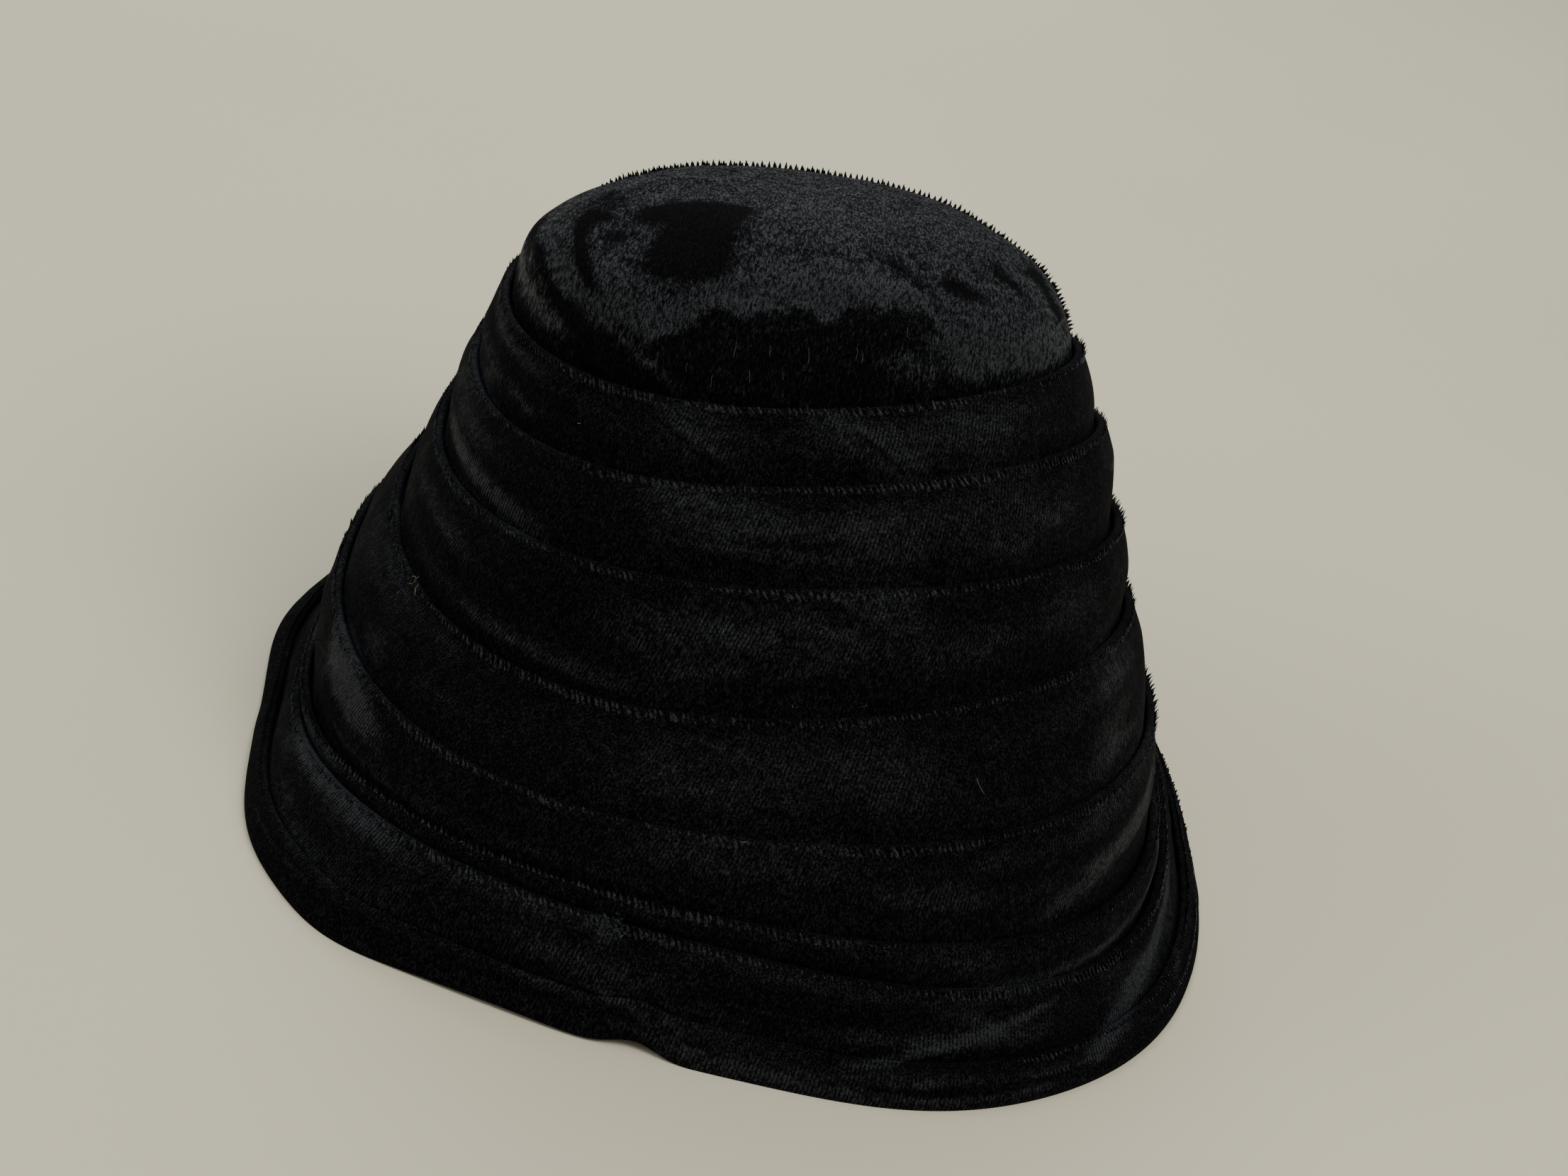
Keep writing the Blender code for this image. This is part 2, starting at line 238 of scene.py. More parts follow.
def superellipse(theta, half_width, half_depth, squareness):
    """Plan outline between an ellipse (2) and a box (large squareness)."""
    c = np.cos(theta)
    s = np.sin(theta)
    reach = (np.abs(c) ** squareness + np.abs(s) ** squareness) ** (-1 / squareness)
    return half_width * reach * c, half_depth * reach * s


def round_from(theta, angle):
    """Degrees round the hat from an angle, between -180 and 180."""
    return (np.degrees(theta) - angle + 180) % 360 - 180


def bump(theta, angle, spread):
    """A bell curve round the hat, 1 at the angle and fading over the spread, both in degrees."""
    return np.exp(-((round_from(theta, angle) / spread) ** 2))


def mark_sum(theta, place, marks, sharpness=1.0):
    """Sum of the marks at a place: each its size times exp(-r), with r a power of its squared distance."""
    total = np.zeros_like(theta)
    for m in marks:
        away = round_from(theta, m.angle)
        line = m.place + m.slope * away
        squared = (away / m.spread) ** 2 + ((place - line) / m.height) ** 2
        total += m.size * np.exp(-(squared**sharpness))
    return total


def unit(vectors):
    """The same directions at a length of 1."""
    return vectors / np.linalg.norm(vectors, axis=-1, keepdims=True)


def seam_line(seam, theta):
    """Points of a seam round the hat: the plan outline, with the four heights joined by cosines."""
    middle = MM * (seam.back + seam.right + seam.front + seam.left) / 4
    tip_x = MM * (seam.right - seam.left) / 2
    tip_y = MM * (seam.front - seam.back) / 2
    saddle = MM * (seam.right + seam.left - seam.front - seam.back) / 4
    climb = min(middle / (MM * 131), 1.0)
    ratio = RIM_DEPTH_RATIO + (CROWN_DEPTH_RATIO - RIM_DEPTH_RATIO) * climb**0.6
    square = CROWN_SQUARENESS + (RIM_SQUARENESS - CROWN_SQUARENESS) * np.exp(-middle / SQUARE_FADE)
    half = seam.half_width * MM
    x, y = superellipse(theta, half, half * ratio, square)
    z = middle + tip_x * np.cos(theta) + tip_y * np.sin(theta)
    z = z + saddle * np.cos(2 * theta) + MM * seam.twist * np.sin(2 * theta)
    over = z - LOWEST_SEAM
    z = LOWEST_SEAM + (over + np.sqrt(over**2 + 4 * SEAM_SOFTNESS**2)) / 2
    return np.stack([x + seam.shift_x * MM, y + FORWARD_LEAN * middle, z], axis=-1)


def rim_line(theta):
    """The lowest seam with its waves: out along the plan, and lifted where it doesn't rest."""
    line = seam_line(SEAMS[-1], theta)
    out = sum(w.out * MM * bump(theta, w.angle, w.spread) for w in RIM_WAVES)
    lift = sum(w.lift * MM * bump(theta, w.angle, w.spread) for w in RIM_WAVES)
    lift = np.maximum(lift - 0.2 * MM, 0.0)
    reach = np.linalg.norm(line[:, :2], axis=1)
    line[:, :2] *= (1 + out / reach)[:, None]
    line[:, 2] = lift
    return line


def slope_at(lines, k):
    """Direction of the bell across seam k: that of its two spans by length, the shorter one weighing more."""
    last = len(lines) - 1
    above = lines[max(k, 1)] - lines[max(k - 1, 0)]
    below = lines[min(k + 1, last)] - lines[min(k, last - 1)]
    long_above = np.linalg.norm(above, axis=1, keepdims=True)
    long_below = np.linalg.norm(below, axis=1, keepdims=True)
    return (above / long_above * long_below + below / long_below * long_above) / (long_above + long_below)


def bell(lines, u):
    """Bell surface at u seams down from the crown: a smooth cubic through the seam lines."""
    last = len(lines) - 1
    k = int(min(max(np.floor(u), 0), last - 1))
    t = u - k
    span = np.linalg.norm(lines[k + 1] - lines[k], axis=1, keepdims=True)
    return (
        (2 * t**3 - 3 * t**2 + 1) * lines[k]
        + (t**3 - 2 * t**2 + t) * span * slope_at(lines, k)
        + (3 * t**2 - 2 * t**3) * lines[k + 1]
        + (t**3 - t**2) * span * slope_at(lines, k + 1)
    )


def bell_normal(lines, u):
    """Outward normal of the bell at u seams down."""
    step = 0.02
    down = bell(lines, u + step) - bell(lines, u - step)
    here = bell(lines, u)
    along = np.roll(here, -1, axis=0) - np.roll(here, 1, axis=0)
    return unit(np.cross(down, along))


def drape(theta, u):
    """How far the cloth stands out at u seams down, by the source's ridges and hollows."""
    return MM * mark_sum(theta, u, DRAPES)


def off_bell(lines, theta, u, offset):
    """Points at an offset out from the bell surface, along its normal, with the drape added."""
    return bell(lines, u) + bell_normal(lines, u) * (offset + drape(theta, u))[:, None]


def band_face(v):
    """Offset of a band's outer face, v down from its folded edge: it stands proud, swells and tucks in."""
    return (GAP + WALL) * (1 - v**1.5) + PUFF * np.sin(np.pi * v)


def seam_gap(lines, k):
    """Mean length of the bell between seam k and the next."""
    return np.linalg.norm(lines[k + 1] - lines[k], axis=1).mean()


def lap_share(lines, k):
    """Share of band k's height that the piece above runs down inside it, less where the band is narrow."""
    return min(LAP / seam_gap(lines, k), MOST_LAP)


# The source's coarse facets give the measures that its pieces are built and centred by


def source_angles():
    """The angles of the source's facets: evenly spaced, with four more round the join."""
    even = np.linspace(-180, 180, 54, endpoint=False)
    return np.radians(np.unique(np.concatenate([even, JOIN_ANGLE + np.array([-5.0, -2.0, 2.0, 5.0])])))


def bell_lines(theta):
    """Every seam from the crown down to the rim."""
    return np.stack([seam_line(seam, theta) for seam in SEAMS[:-1]] + [rim_line(theta)])


THETA = np.radians(JOIN_ANGLE + np.linspace(0, 360, ROUND_STEPS, endpoint=False))
DEGREES = round_from(THETA, 0)
LINES = bell_lines(THETA)
COARSE = bell_lines(source_angles())
GAPS = [seam_gap(COARSE, k) for k in range(len(SEAMS) - 1)]
LAPS = [lap_share(COARSE, k) for k in range(len(SEAMS) - 1)]
BINDING_START = len(SEAMS) - 1 - BINDING / GAPS[-1]


def source_shift():
    """How far the source moved its pieces to centre them, read from the box of the rim binding."""
    low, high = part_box("rim_binding")
    theta = source_angles()
    last = len(SEAMS) - 1
    drop = last - BINDING_START
    proud = GAP + WALL
    rows = [(BINDING_START + 0.15 * drop, proud), (BINDING_START + 0.5 * drop, proud + 0.5 * MM)]
    rows += [(BINDING_START + 0.85 * drop, proud), (last - 0.02 * drop, proud - 0.3 * MM)]
    points = np.concatenate([off_bell(COARSE, theta, u, offset) for u, offset in rows])
    middle = (points.min(axis=0) + points.max(axis=0)) / 2
    return np.array([(low.x + high.x) / 2 - middle[0], (low.y + high.y) / 2 - middle[1], 0.0])


SHIFT = source_shift()


# Fine relief of the cloth


def ripples(points, seed):
    """Soft ripples: a sum of plane waves of seeded direction, length and phase through the points."""
    draw = np.random.default_rng(seed)
    total = np.zeros(points.shape[:-1])
    for _ in range(RIPPLES):
        length = draw.uniform(*RIPPLE_LENGTHS)
        way = unit(draw.normal(size=3) * (1.0, 1.0, 1.6))
        total += np.sin(points @ way * (2 * np.pi / length) + draw.uniform(0, 2 * np.pi))
    return RIPPLE_HEIGHT * total


def far_side_creases():
    """Ridges and hollows of the side that the photo doesn't show: seeded, and like those that it does."""
    draw = np.random.default_rng(FAR_SIDE_SEED)
    made = []
    for _ in range(FAR_SIDE_CREASES):
        spot = (draw.uniform(0, 180), draw.uniform(0.25, 6.8))
        size = (draw.uniform(12, 24), draw.uniform(0.08, 0.16))
        made.append(Mark(*spot, *size, draw.uniform(-0.5, 0.9), draw.normal(0, 0.004)))
    return made


ALL_CREASES = CREASES + far_side_creases()


def creases(u):
    """Height of the fine ridges and creases at u seams down."""
    return MM * mark_sum(THETA, u, ALL_CREASES)


def pucker(v):
    """Small puckers that the stitches draw along a folded edge, fading down the band."""
    along = THETA * PUCKER_RADIUS / PUCKER_PITCH
    wave = np.sin(2 * np.pi * along) + 0.6 * np.sin(2 * np.pi * along * 1.73 + 1.1)
    return PUCKER_HEIGHT * wave * np.exp(-v / 0.16)


def cloth_row(u, offset, fine, seed):
    """One row of a cloth face: the bell at an offset, with creases and ripples by the share in fine."""
    row = off_bell(LINES, THETA, u, offset)
    relief = creases(u) + ripples(row, seed)
    return row + bell_normal(LINES, u) * (fine * relief)[:, None]


def fold_nose(start, face, length):
    """Profile of a folded edge: a half circle as thick as the wall, from its inner to its outer side."""
    turns = np.linspace(0, np.pi, NOSE_STEPS + 2)[1:-1]
    radius = WALL / 2
    middle = face - radius
    return [(start + radius * (1 - np.sin(a)) / length, middle - radius * np.cos(a)) for a in turns]


# Meshes


def make_mesh(name, points, quads, triangles=()):
    """A smooth-shaded mesh object from arrays of quads and triangles."""
    mesh = bpy.data.meshes.new(name)
    faces = [tuple(face) for face in np.asarray(quads).tolist()]
    faces += [tuple(face) for face in np.asarray(triangles).tolist()]
    mesh.from_pydata(np.asarray(points).reshape(-1, 3).tolist(), [], faces)
    mesh.shade_smooth()
    obj = bpy.data.objects.new(name, mesh)
    bpy.context.scene.collection.objects.link(obj)
    return obj


def ring_quads(rows, columns):
    """Quads between each row of a profile and the next, round the hat, the last row joining the first."""
    index = np.arange(rows * columns).reshape(rows, columns)
    below = np.roll(index, -1, axis=0)
    return np.stack([index, below, np.roll(below, -1, axis=1), np.roll(index, -1, axis=1)], axis=-1)


def steps_of(rows):
    """Lengths from each point or row to the next, the last joining the first."""
    return np.linalg.norm(np.roll(rows, -1, axis=0) - rows, axis=-1)


def running(steps):
    """Length before each step, and the whole length after the last."""
    return np.concatenate([[0.0], np.cumsum(steps)])


def lay_uv(obj, rows):
    """Writes the cloth's own map: distance round its outer face, and distance down each profile."""
    count, columns = rows.shape[:2]
    around = running(steps_of(rows[count // 4]))
    down = running(steps_of(rows).mean(axis=1))
    row, column = np.divmod(np.arange(count * columns), columns)
    across = around[np.stack([column, column, column + 1, column + 1], axis=-1)]
    along = down[np.stack([row, row + 1, row + 1, row], axis=-1)]
    layer = obj.data.uv_layers.new(name="cloth")
    layer.data.foreach_set("uv", np.stack([across, along], axis=-1).ravel())


def lay_nap_and_sheen(obj, nap_and_sheen):
    """Writes how much painted sheen the brushed pile gets at each point, from below 0 (none, black pile) to
    above 1 (full).
    """
    attribute = obj.data.attributes.new("nap_and_sheen", "FLOAT", "POINT")
    attribute.data.foreach_set("value", np.asarray(nap_and_sheen, dtype=np.float32).ravel())


# Brushed pile with painted sheen and shade: a size above 0 paints grey sheen onto the black pile, and one
# below 0 paints it darker. A streak is a straight line from one place to another
Streak = namedtuple("Streak", "start_angle start_place end_angle end_place width light")
BELL_PATCHES = [Mark(*row) for row in (
    # left flank, from the crown down
    (-162, 0.95, 12, 0.22, 0.22, 0.008),
    (-167, 2.90, 4, 0.90, 0.12),
    (-147, 3.76, 4, 0.14, 0.30),
    (-146, 4.28, 8, 0.18, 0.30, 0.010),
    (-149, 5.55, 7, 0.50, 0.40),
    (-162, 6.30, 6, 0.30, 0.10),
    (-147, 6.46, 3, 0.05, 0.20),
    # near side, band by band
    (-104, 0.38, 9, 0.34, 0.28, 0.020),
    (-76, 0.45, 11, 0.34, 0.36, 0.030),
    (-56, 0.45, 12, 0.45, 0.33),
    (-132, 0.75, 14, 0.22, -0.10),
    (-96, 1.38, 15, 0.26, 0.44, 0.012),
    (-74, 1.42, 10, 0.26, 0.34),
    (-52, 1.40, 12, 0.38, 0.21),
    (-126, 1.60, 12, 0.40, -0.10),
    (-98, 2.40, 13, 0.26, 0.30),
    (-76, 2.22, 10, 0.30, 0.36),
    (-60, 2.60, 9, 0.20, 0.18),
    (-124, 2.45, 16, 0.40, -0.05),
    (-93, 3.40, 12, 0.30, 0.26),
    (-72, 3.40, 9, 0.34, 0.26, 0.020),
    (-126, 3.50, 18, 0.40, -0.05),
    (-88, 4.25, 15, 0.26, 0.26),
    (-64, 4.55, 9, 0.14, 0.24),
    (-112, 4.50, 12, 0.35, -0.05),
    # right flank
    (-40, 2.32, 6, 0.30, 0.14),
    (-30, 3.20, 8, 0.40, 0.22),
    (-32, 3.70, 8, 0.22, 0.26),
    (-12, 4.90, 8, 0.80, 0.16),
    (-62, 5.50, 6, 0.40, 0.22),
    # brim
    (-84, 6.20, 12, 0.10, -0.20),
    (-68, 6.83, 3, 0.04, 0.35, -0.006),
    (-48, 6.52, 5, 0.16, -0.25),
    (-104, 6.62, 6, 0.06, 0.22),
    (-98, 6.60, 16, 0.24, 0.22),
    (-34, 6.40, 7, 0.22, 0.16),
    (-99, 6.20, 2.5, 0.22, -0.30),
    (-103, 6.05, 2.0, 0.16, 0.45),
    (-30, 6.92, 16, 0.16, -0.20),
)]
BELL_STREAKS = [Streak(*row) for row in (
    (-178, 0.10, -140, 0.26, 0.08, 0.30),
    (-174, 0.34, -138, 0.52, 0.06, -0.16),
    (-172, 0.62, -136, 0.74, 0.07, 0.24),
    (-176, 1.20, -142, 1.36, 0.10, 0.22),
    (-164, 1.60, -128, 1.92, 0.13, 0.62),
    (-160, 2.30, -136, 2.40, 0.08, 0.16),
    (-160, 3.14, -132, 3.20, 0.07, 0.18),
    (-136, 2.80, -104, 2.90, 0.05, 0.30),
    (-157, 4.08, -138, 4.34, 0.15, 0.90),
    (-150, 4.72, -124, 4.86, 0.06, 0.30),
    (-156, 6.02, -127, 6.14, 0.11, 0.80),
    (-126, 6.14, -104, 6.10, 0.07, 0.24),
    (-149, 6.83, -134, 6.78, 0.035, 0.35),
    (-116, 0.02, -99, 0.72, 0.12, 0.18),
    (-83, 0.04, -66, 0.80, 0.06, 0.30),
    (-62, 0.20, -48, 0.62, 0.06, 0.22),
    (-112, 1.14, -88, 1.20, 0.06, 0.20),
    (-94, 1.78, -66, 1.70, 0.06, 0.16),
    (-97, 1.54, -78, 1.62, 0.05, -0.45),
    (-80, 0.16, -70, 0.86, 0.04, -0.35),
    (-114, 0.20, -98, 0.86, 0.05, -0.30),
    (-84, 2.10, -72, 2.36, 0.06, -0.30),
    (-100, 3.16, -84, 3.02, 0.05, -0.25),
    (-106, 2.70, -82, 2.62, 0.05, 0.18),
    (-104, 3.72, -80, 3.66, 0.06, 0.12),
    (-48, 4.82, -16, 4.32, 0.13, 0.60),
    (-44, 4.20, -12, 3.90, 0.10, 0.24),
    (-52, 5.06, -14, 4.90, 0.08, -0.14),
    (-62, 6.06, -34, 5.76, 0.11, 0.50),
    (-38, 5.80, -8, 5.40, 0.16, 0.42),
    (-75, 6.73, -51, 6.23, 0.030, 1.15),
    (-48, 6.84, -33, 6.42, 0.090, 1.00),
    (-37, 6.46, -10, 6.18, 0.100, 0.75),
    (-89, 6.41, -78, 6.42, 0.020, 0.45),
    (-68, 6.96, -50, 6.92, 0.040, 0.45),
    (-98, 6.92, -66, 6.94, 0.090, 0.50),
    (-84, 6.50, -58, 6.52, 0.06, -0.08),
)]
CROWN_STREAKS = [Streak(*row) for row in (
    (-170, 0.42, -136, 0.24, 0.030, 0.34),
    (-134, 0.26, -110, 0.04, 0.022, 0.55),
    (-186, 0.31, -152, 0.29, 0.022, -0.55),
    (-158, 0.30, -124, 0.08, 0.020, -0.60),
    (-158, 0.50, -131, 0.26, 0.026, -0.90),
    (-142, 0.09, -114, 0.03, 0.026, -0.35),
    (-182, 0.20, -136, 0.10, 0.042, 0.85),
    (-176, 0.08, -150, 0.02, 0.020, -0.20),
    (-80, 0.28, -74, 0.06, 0.030, -0.24),
    (-73, 0.20, -62, 0.13, 0.060, 0.16),
    (-62, 0.22, -22, 0.12, 0.100, 0.80),
    (-112, 0.12, -78, 0.12, 0.080, -0.04),
)]
# Spots where the crown's top is darker: brushed pile, with its painted sheen taken out
Spot = namedtuple("Spot", "x y reach_x reach_y light")  # on the plan of the crown, in millimetres
CROWN_SPOTS = [Spot(*row) for row in (
    (-53, -6, 8, 6, -0.85),
    (-40, -8, 10, 8, -0.95),
    (-43, -22, 11, 10, -0.95),
    (-49, -30, 7, 8, -0.80),
    (-40, -36, 8, 7, -0.75),
    (-64, -17, 4, 5, -0.50),
    (-71, -4, 3.5, 4, -0.45),
    (5, -25, 5, 2.5, -0.40),
    (10, -29, 4, 4, -0.55),
    (15, -33, 3, 3, -0.40),
    (25, -27, 5, 4.5, -0.65),
    (31, -25, 4, 3, -0.45),
    (38, -7, 4, 5, -0.55),
    (43, -10, 2.5, 3, -0.45),
    (50, 15, 3, 7, -0.60),
    (55, 5, 3, 6, -0.60),
    (-14, -30, 14, 3, -0.20),
    (4, -8, 22, 3, -0.14),
    (-70, 8, 6, 14, -0.30),
    (17, -56, 7, 2.4, 0.30),
)]
# Where the painted sheen of the crown's top begins: an angle and a turn
SHEEN_EDGE_LINE = (
    (-180, 0.30), (-150, 0.22), (-128, 0.21), (-118, 0.17), (-113, 0.26),
    (-108, 0.32), (-98, 0.36), (-88, 0.38), (-85, 0.35), (-78, 0.40),
    (-68, 0.42), (-61, 0.40), (-58.5, 0.24), (-57, 0.12), (-48, 0.09),
    (-36, 0.07), (-20, 0.04), (20, 0.06), (90, 0.16), (180, 0.30),
)
PATCH_SHARPNESS = 1.4
SPOT_SHARPNESS = 1.3
# Painted sheen of the crown: little on its wall, more on its top, a painted highlight just above the edge,
# and less towards the far side
CROWN_WALL_SHEEN = 0.06
CROWN_TOP_SHEEN = 0.47
CROWN_FAR_SHEEN_LOSS = 0.24
CROWN_EDGE_HIGHLIGHT = 0.70
CROWN_EDGE_FADE = 0.010  # turns over which the wall gives way to the painted sheen of the top
CROWN_FAR_START = -20.0  # from here the top's painted sheen fades towards the far side, over this distance
CROWN_FAR_REACH = 80.0
RESTING_NAP_AND_SHEEN = 0.08
POLE_SHEEN = 0.68
EDGE_SEED = 3
EDGE_COUNTS = (23, 37, 61, 97, 141)
FAR_SIDE_NAP_AND_SHEEN = 0.10
# Painted shade just below each folded edge
UNDER_FOLD_SHADE = 0.05
EDGE_LIGHT = 0.25  # how much painted highlight the folded edges get on the left
EDGE_HEIGHT = 0.05
CREASE_LIGHT = 0.40  # how much painted light the upper flank of a crease gets, and painted shade its lower flank
CREASE_STEP = 0.03

# Small brushed marks that lie all over the hat: how many, how long and high, and how strong
SCUFFS = 420
SCUFF_SPREAD = (1.5, 7.0)
SCUFF_HEIGHT = (0.025, 0.11)
SCUFF_SLOPE = 0.02
SCUFF_LIGHT = 0.15
SCUFF_SEED = 4


def far_side_streaks():
    """Streaks of brushed pile and painted sheen on the far side: seeded, and like those on the near side.
    Brushed streaks of the side that the photo doesn't show: seeded, and like those that it does.
    """
    draw = np.random.default_rng(FAR_SIDE_SEED + 1)
    made = []
    for _ in range(FAR_SIDE_STREAKS):
        start = draw.uniform(-4, 166)
        place = draw.uniform(0.1, 6.9)
        end = start + draw.uniform(14, 38)
        end_place = place + draw.normal(0, 0.14)
        made.append(Streak(start, place, end, end_place, draw.uniform(0.05, 0.13), draw.uniform(-0.15, 0.5)))
    return made


ALL_BELL_STREAKS = BELL_STREAKS + far_side_streaks()


def streak_light(place, streaks):
    """Sum of the streaks at a place: each fades across its straight line and at its two ends."""
    total = np.zeros_like(THETA)
    for s in streaks:
        length = s.end_angle - s.start_angle
        along = round_from(THETA, s.start_angle + length / 2) / length
        line = (s.start_place + s.end_place) / 2 + (s.end_place - s.start_place) * along
        total += s.light * np.exp(-((2 * along) ** 6) - ((place - line) / s.width) ** 2)
    return total


def scuff_light(place, tallest):
    """Sum of the small seeded marks at a place, half of them lit and half dark, as ovals on sloping lines."""
    draw = np.random.default_rng(SCUFF_SEED)
    angle = draw.uniform(-180, 180, SCUFFS)
    middle = draw.uniform(0, tallest, SCUFFS)
    spread = draw.uniform(*SCUFF_SPREAD, SCUFFS)
    height = draw.uniform(*SCUFF_HEIGHT, SCUFFS) * tallest / len(SEAMS)
    slope = draw.normal(0, SCUFF_SLOPE, SCUFFS) * tallest / len(SEAMS)
    light = draw.normal(0, SCUFF_LIGHT, SCUFFS)
    near = np.abs(place - middle) < 4 * height + 0.1 * tallest / len(SEAMS)
    away = round_from(THETA[:, None], angle[near])
    across = (place - middle[near] - slope[near] * away) / height[near]
    return (light[near] * np.exp(-((away / spread[near]) ** 2) - across**2)).sum(axis=1)


def bell_nap_and_sheen(u):
    """Brushed pile and painted sheen and shade at u seams down: a resting value plus patches, streaks,
    scuffs, and painted light and shade on creases and at folds.
    """
    # A resting level of brushed pile and painted sheen, a little more towards the back
    total = RESTING_NAP_AND_SHEEN + FAR_SIDE_NAP_AND_SHEEN * np.maximum(np.sin(THETA), 0)
    total = total + streak_light(u, ALL_BELL_STREAKS) + scuff_light(u, len(SEAMS) - 1)
    # Painted light on the upper flank of each crease and drape, and painted shade on its lower flank
    rise = creases(u + CREASE_STEP) - creases(u - CREASE_STEP)
    rise = rise + drape(THETA, u + CREASE_STEP) - drape(THETA, u - CREASE_STEP)
    total = total + CREASE_LIGHT * rise / MM + mark_sum(THETA, u, BELL_PATCHES, PATCH_SHARPNESS)
    # Painted highlight along the folded edges on the left, and painted shade just below each fold
    below_fold = u - np.floor(u)
    total = total + EDGE_LIGHT * bump(THETA, -165, 28) * np.exp(-((below_fold / EDGE_HEIGHT) ** 2))
    return total - UNDER_FOLD_SHADE * np.exp(-(((below_fold - 0.16) / 0.10) ** 2))


def crown_nap_and_sheen(row, turn, edge):
    """Brushed pile and painted sheen of the crown: a dark wall, painted sheen above its ragged edge, plus
    streaks and spots.
    """
    x, y = row[:, 0] / MM, row[:, 1] / MM
    above = 1 / (1 + np.exp(-(turn - edge) / CROWN_EDGE_FADE))
    near = bump(THETA, -75, 50) * np.exp(-(((turn - edge - 0.05) / 0.08) ** 2))
    far = np.clip((y - CROWN_FAR_START) / CROWN_FAR_REACH, 0, 1)
    total = CROWN_WALL_SHEEN + above * (CROWN_TOP_SHEEN - CROWN_FAR_SHEEN_LOSS * far + CROWN_EDGE_HIGHLIGHT * near)
    total = total + streak_light(turn, CROWN_STREAKS) + scuff_light(turn, 1.0) * (0.4 + above)
    top = np.clip(turn / 0.2, 0, 1)
    for s in CROWN_SPOTS:
        squared = ((x - s.x) / s.reach_x) ** 2 + ((y - s.y) / s.reach_y) ** 2
        total += top * s.light * np.exp(-(squared**SPOT_SHARPNESS))
    return total


# Pieces of the hat


def dress(obj, material, node=None):
    """Gives a piece its material, rides it on the one body, and hides the CAD node that it stands for, if
    any.
    """
    obj.data.materials.append(material)
    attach(obj, "root")
    if node:
        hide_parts(node)


def finish_wall(name, node, material, profile, rows, height):
    """Makes a closed wall from its profile's rows, with its map and the painted sheen of its brushed pile."""
    obj = make_mesh(name, rows + SHIFT, ring_quads(*rows.shape[:2]).reshape(-1, 4))
    lay_uv(obj, rows)
    lay_nap_and_sheen(obj, np.stack([bell_nap_and_sheen(u) for u, _, _ in profile]))
    dress(obj, material, node)
    around = float(steps_of(rows[len(rows) // 3]).sum())


def band_profile(k, end, tail):
    """(u, offset, share of fine relief) down a band: folded edge, outer face, tail, and back up inside."""
    drop = end - k
    length = GAPS[k] * drop
    nose = WALL / 2 / length
    face = band_face(nose)
    profile = [(u, offset, 0.3) for u, offset in fold_nose(k, face, length)]
    profile += [(k + v * drop, band_face(v), 1.0) for v in np.linspace(nose, 1, FACE_STEPS)]
    profile += [(end + 0.5 * (tail - end), -TUCK / 2, 0.0), (tail, -TUCK, 0.0), (tail, -TUCK - WALL, 0.0)]
    return profile + [(k + v * drop, band_face(v) - WALL, 0.5) for v in (1.0, 0.8, 0.6, 0.4, 0.2)]


def make_band(k, name, node, seed, end, tail, material):
    """A bias band: its folded edge laps over the piece above, and its tail runs down inside the next."""
    profile = band_profile(k, end, tail)
    rows = []
    for u, offset, fine in profile:
        fold = pucker(max(u - k, 0.0)) * min(fine, 0.6)
        rows.append(cloth_row(u, offset, fine, seed) + bell_normal(LINES, u) * fold[:, None])
    rows = np.stack(rows)
    rows[:, :, 2] = np.maximum(rows[:, :, 2], BRIM_CLEARANCE)
    finish_wall(name, node, material, profile, rows, GAPS[k] * (tail - k) + WALL)


def make_binding(material):
    """The strip round the rim: a fold at its top, a swelling face, a rolled foot and a flat inner side."""
    last = len(SEAMS) - 1
    drop = last - BINDING_START
    proud = GAP + WALL
    profile = [(u, offset, 0.2) for u, offset in fold_nose(BINDING_START, proud, BINDING)]
    for v in np.linspace(0.16, 0.86, 11):
        profile.append((BINDING_START + v * drop, proud + 0.5 * MM * np.sin(np.pi * v), 0.5))
    foot = [(0.92, proud - 0.05 * MM), (0.96, proud - 0.15 * MM), (0.98, proud - 0.35 * MM)]
    foot += [(0.98, GAP + 0.35 * MM), (0.96, GAP + 0.1 * MM), (0.9, GAP), (0.5, GAP), (0.16, GAP)]
    profile += [(BINDING_START + v * drop, offset, 0.0) for v, offset in foot]
    shares = np.array([(u - BINDING_START) / drop for u, _, _ in profile])
    rows = []
    for (u, offset, fine), v in zip(profile, shares):
        fold = bell_normal(LINES, u) * (0.6 * pucker(v) * (fine > 0))[:, None]
        rows.append(cloth_row(u, offset, fine, BINDING_SEED) + fold)
    rows = np.stack(rows)
    lift = LINES[last][:, 2]
    floor = np.where(shares > 0.97, 0.0, np.where(shares > 0.95, 0.12 * MM, 0.4 * MM))
    rows[:, :, 2] = np.maximum(rows[:, :, 2], lift + floor[:, None])
    rows[shares > 0.97, :, 2] = lift
    finish_wall("rim_binding_velvet", "rim_binding", material, profile, rows, BINDING + WALL)


def fold_height(rise):
    """Height of the crown's folds: each is a ridge along a line that falls as it goes round."""
    total = 0.0
    for fold in CROWN_FOLDS:
        along = round_from(THETA, fold.start_angle) / (fold.end_angle - fold.start_angle)
        line = fold.start_rise + (fold.end_rise - fold.start_rise) * along
        inside = np.clip(1.15 - np.abs(2 * along - 1), 0, 0.3) / 0.3
        total += MM * fold.height * inside * np.exp(-(((rise - line) / fold.width) ** 2))
    return total


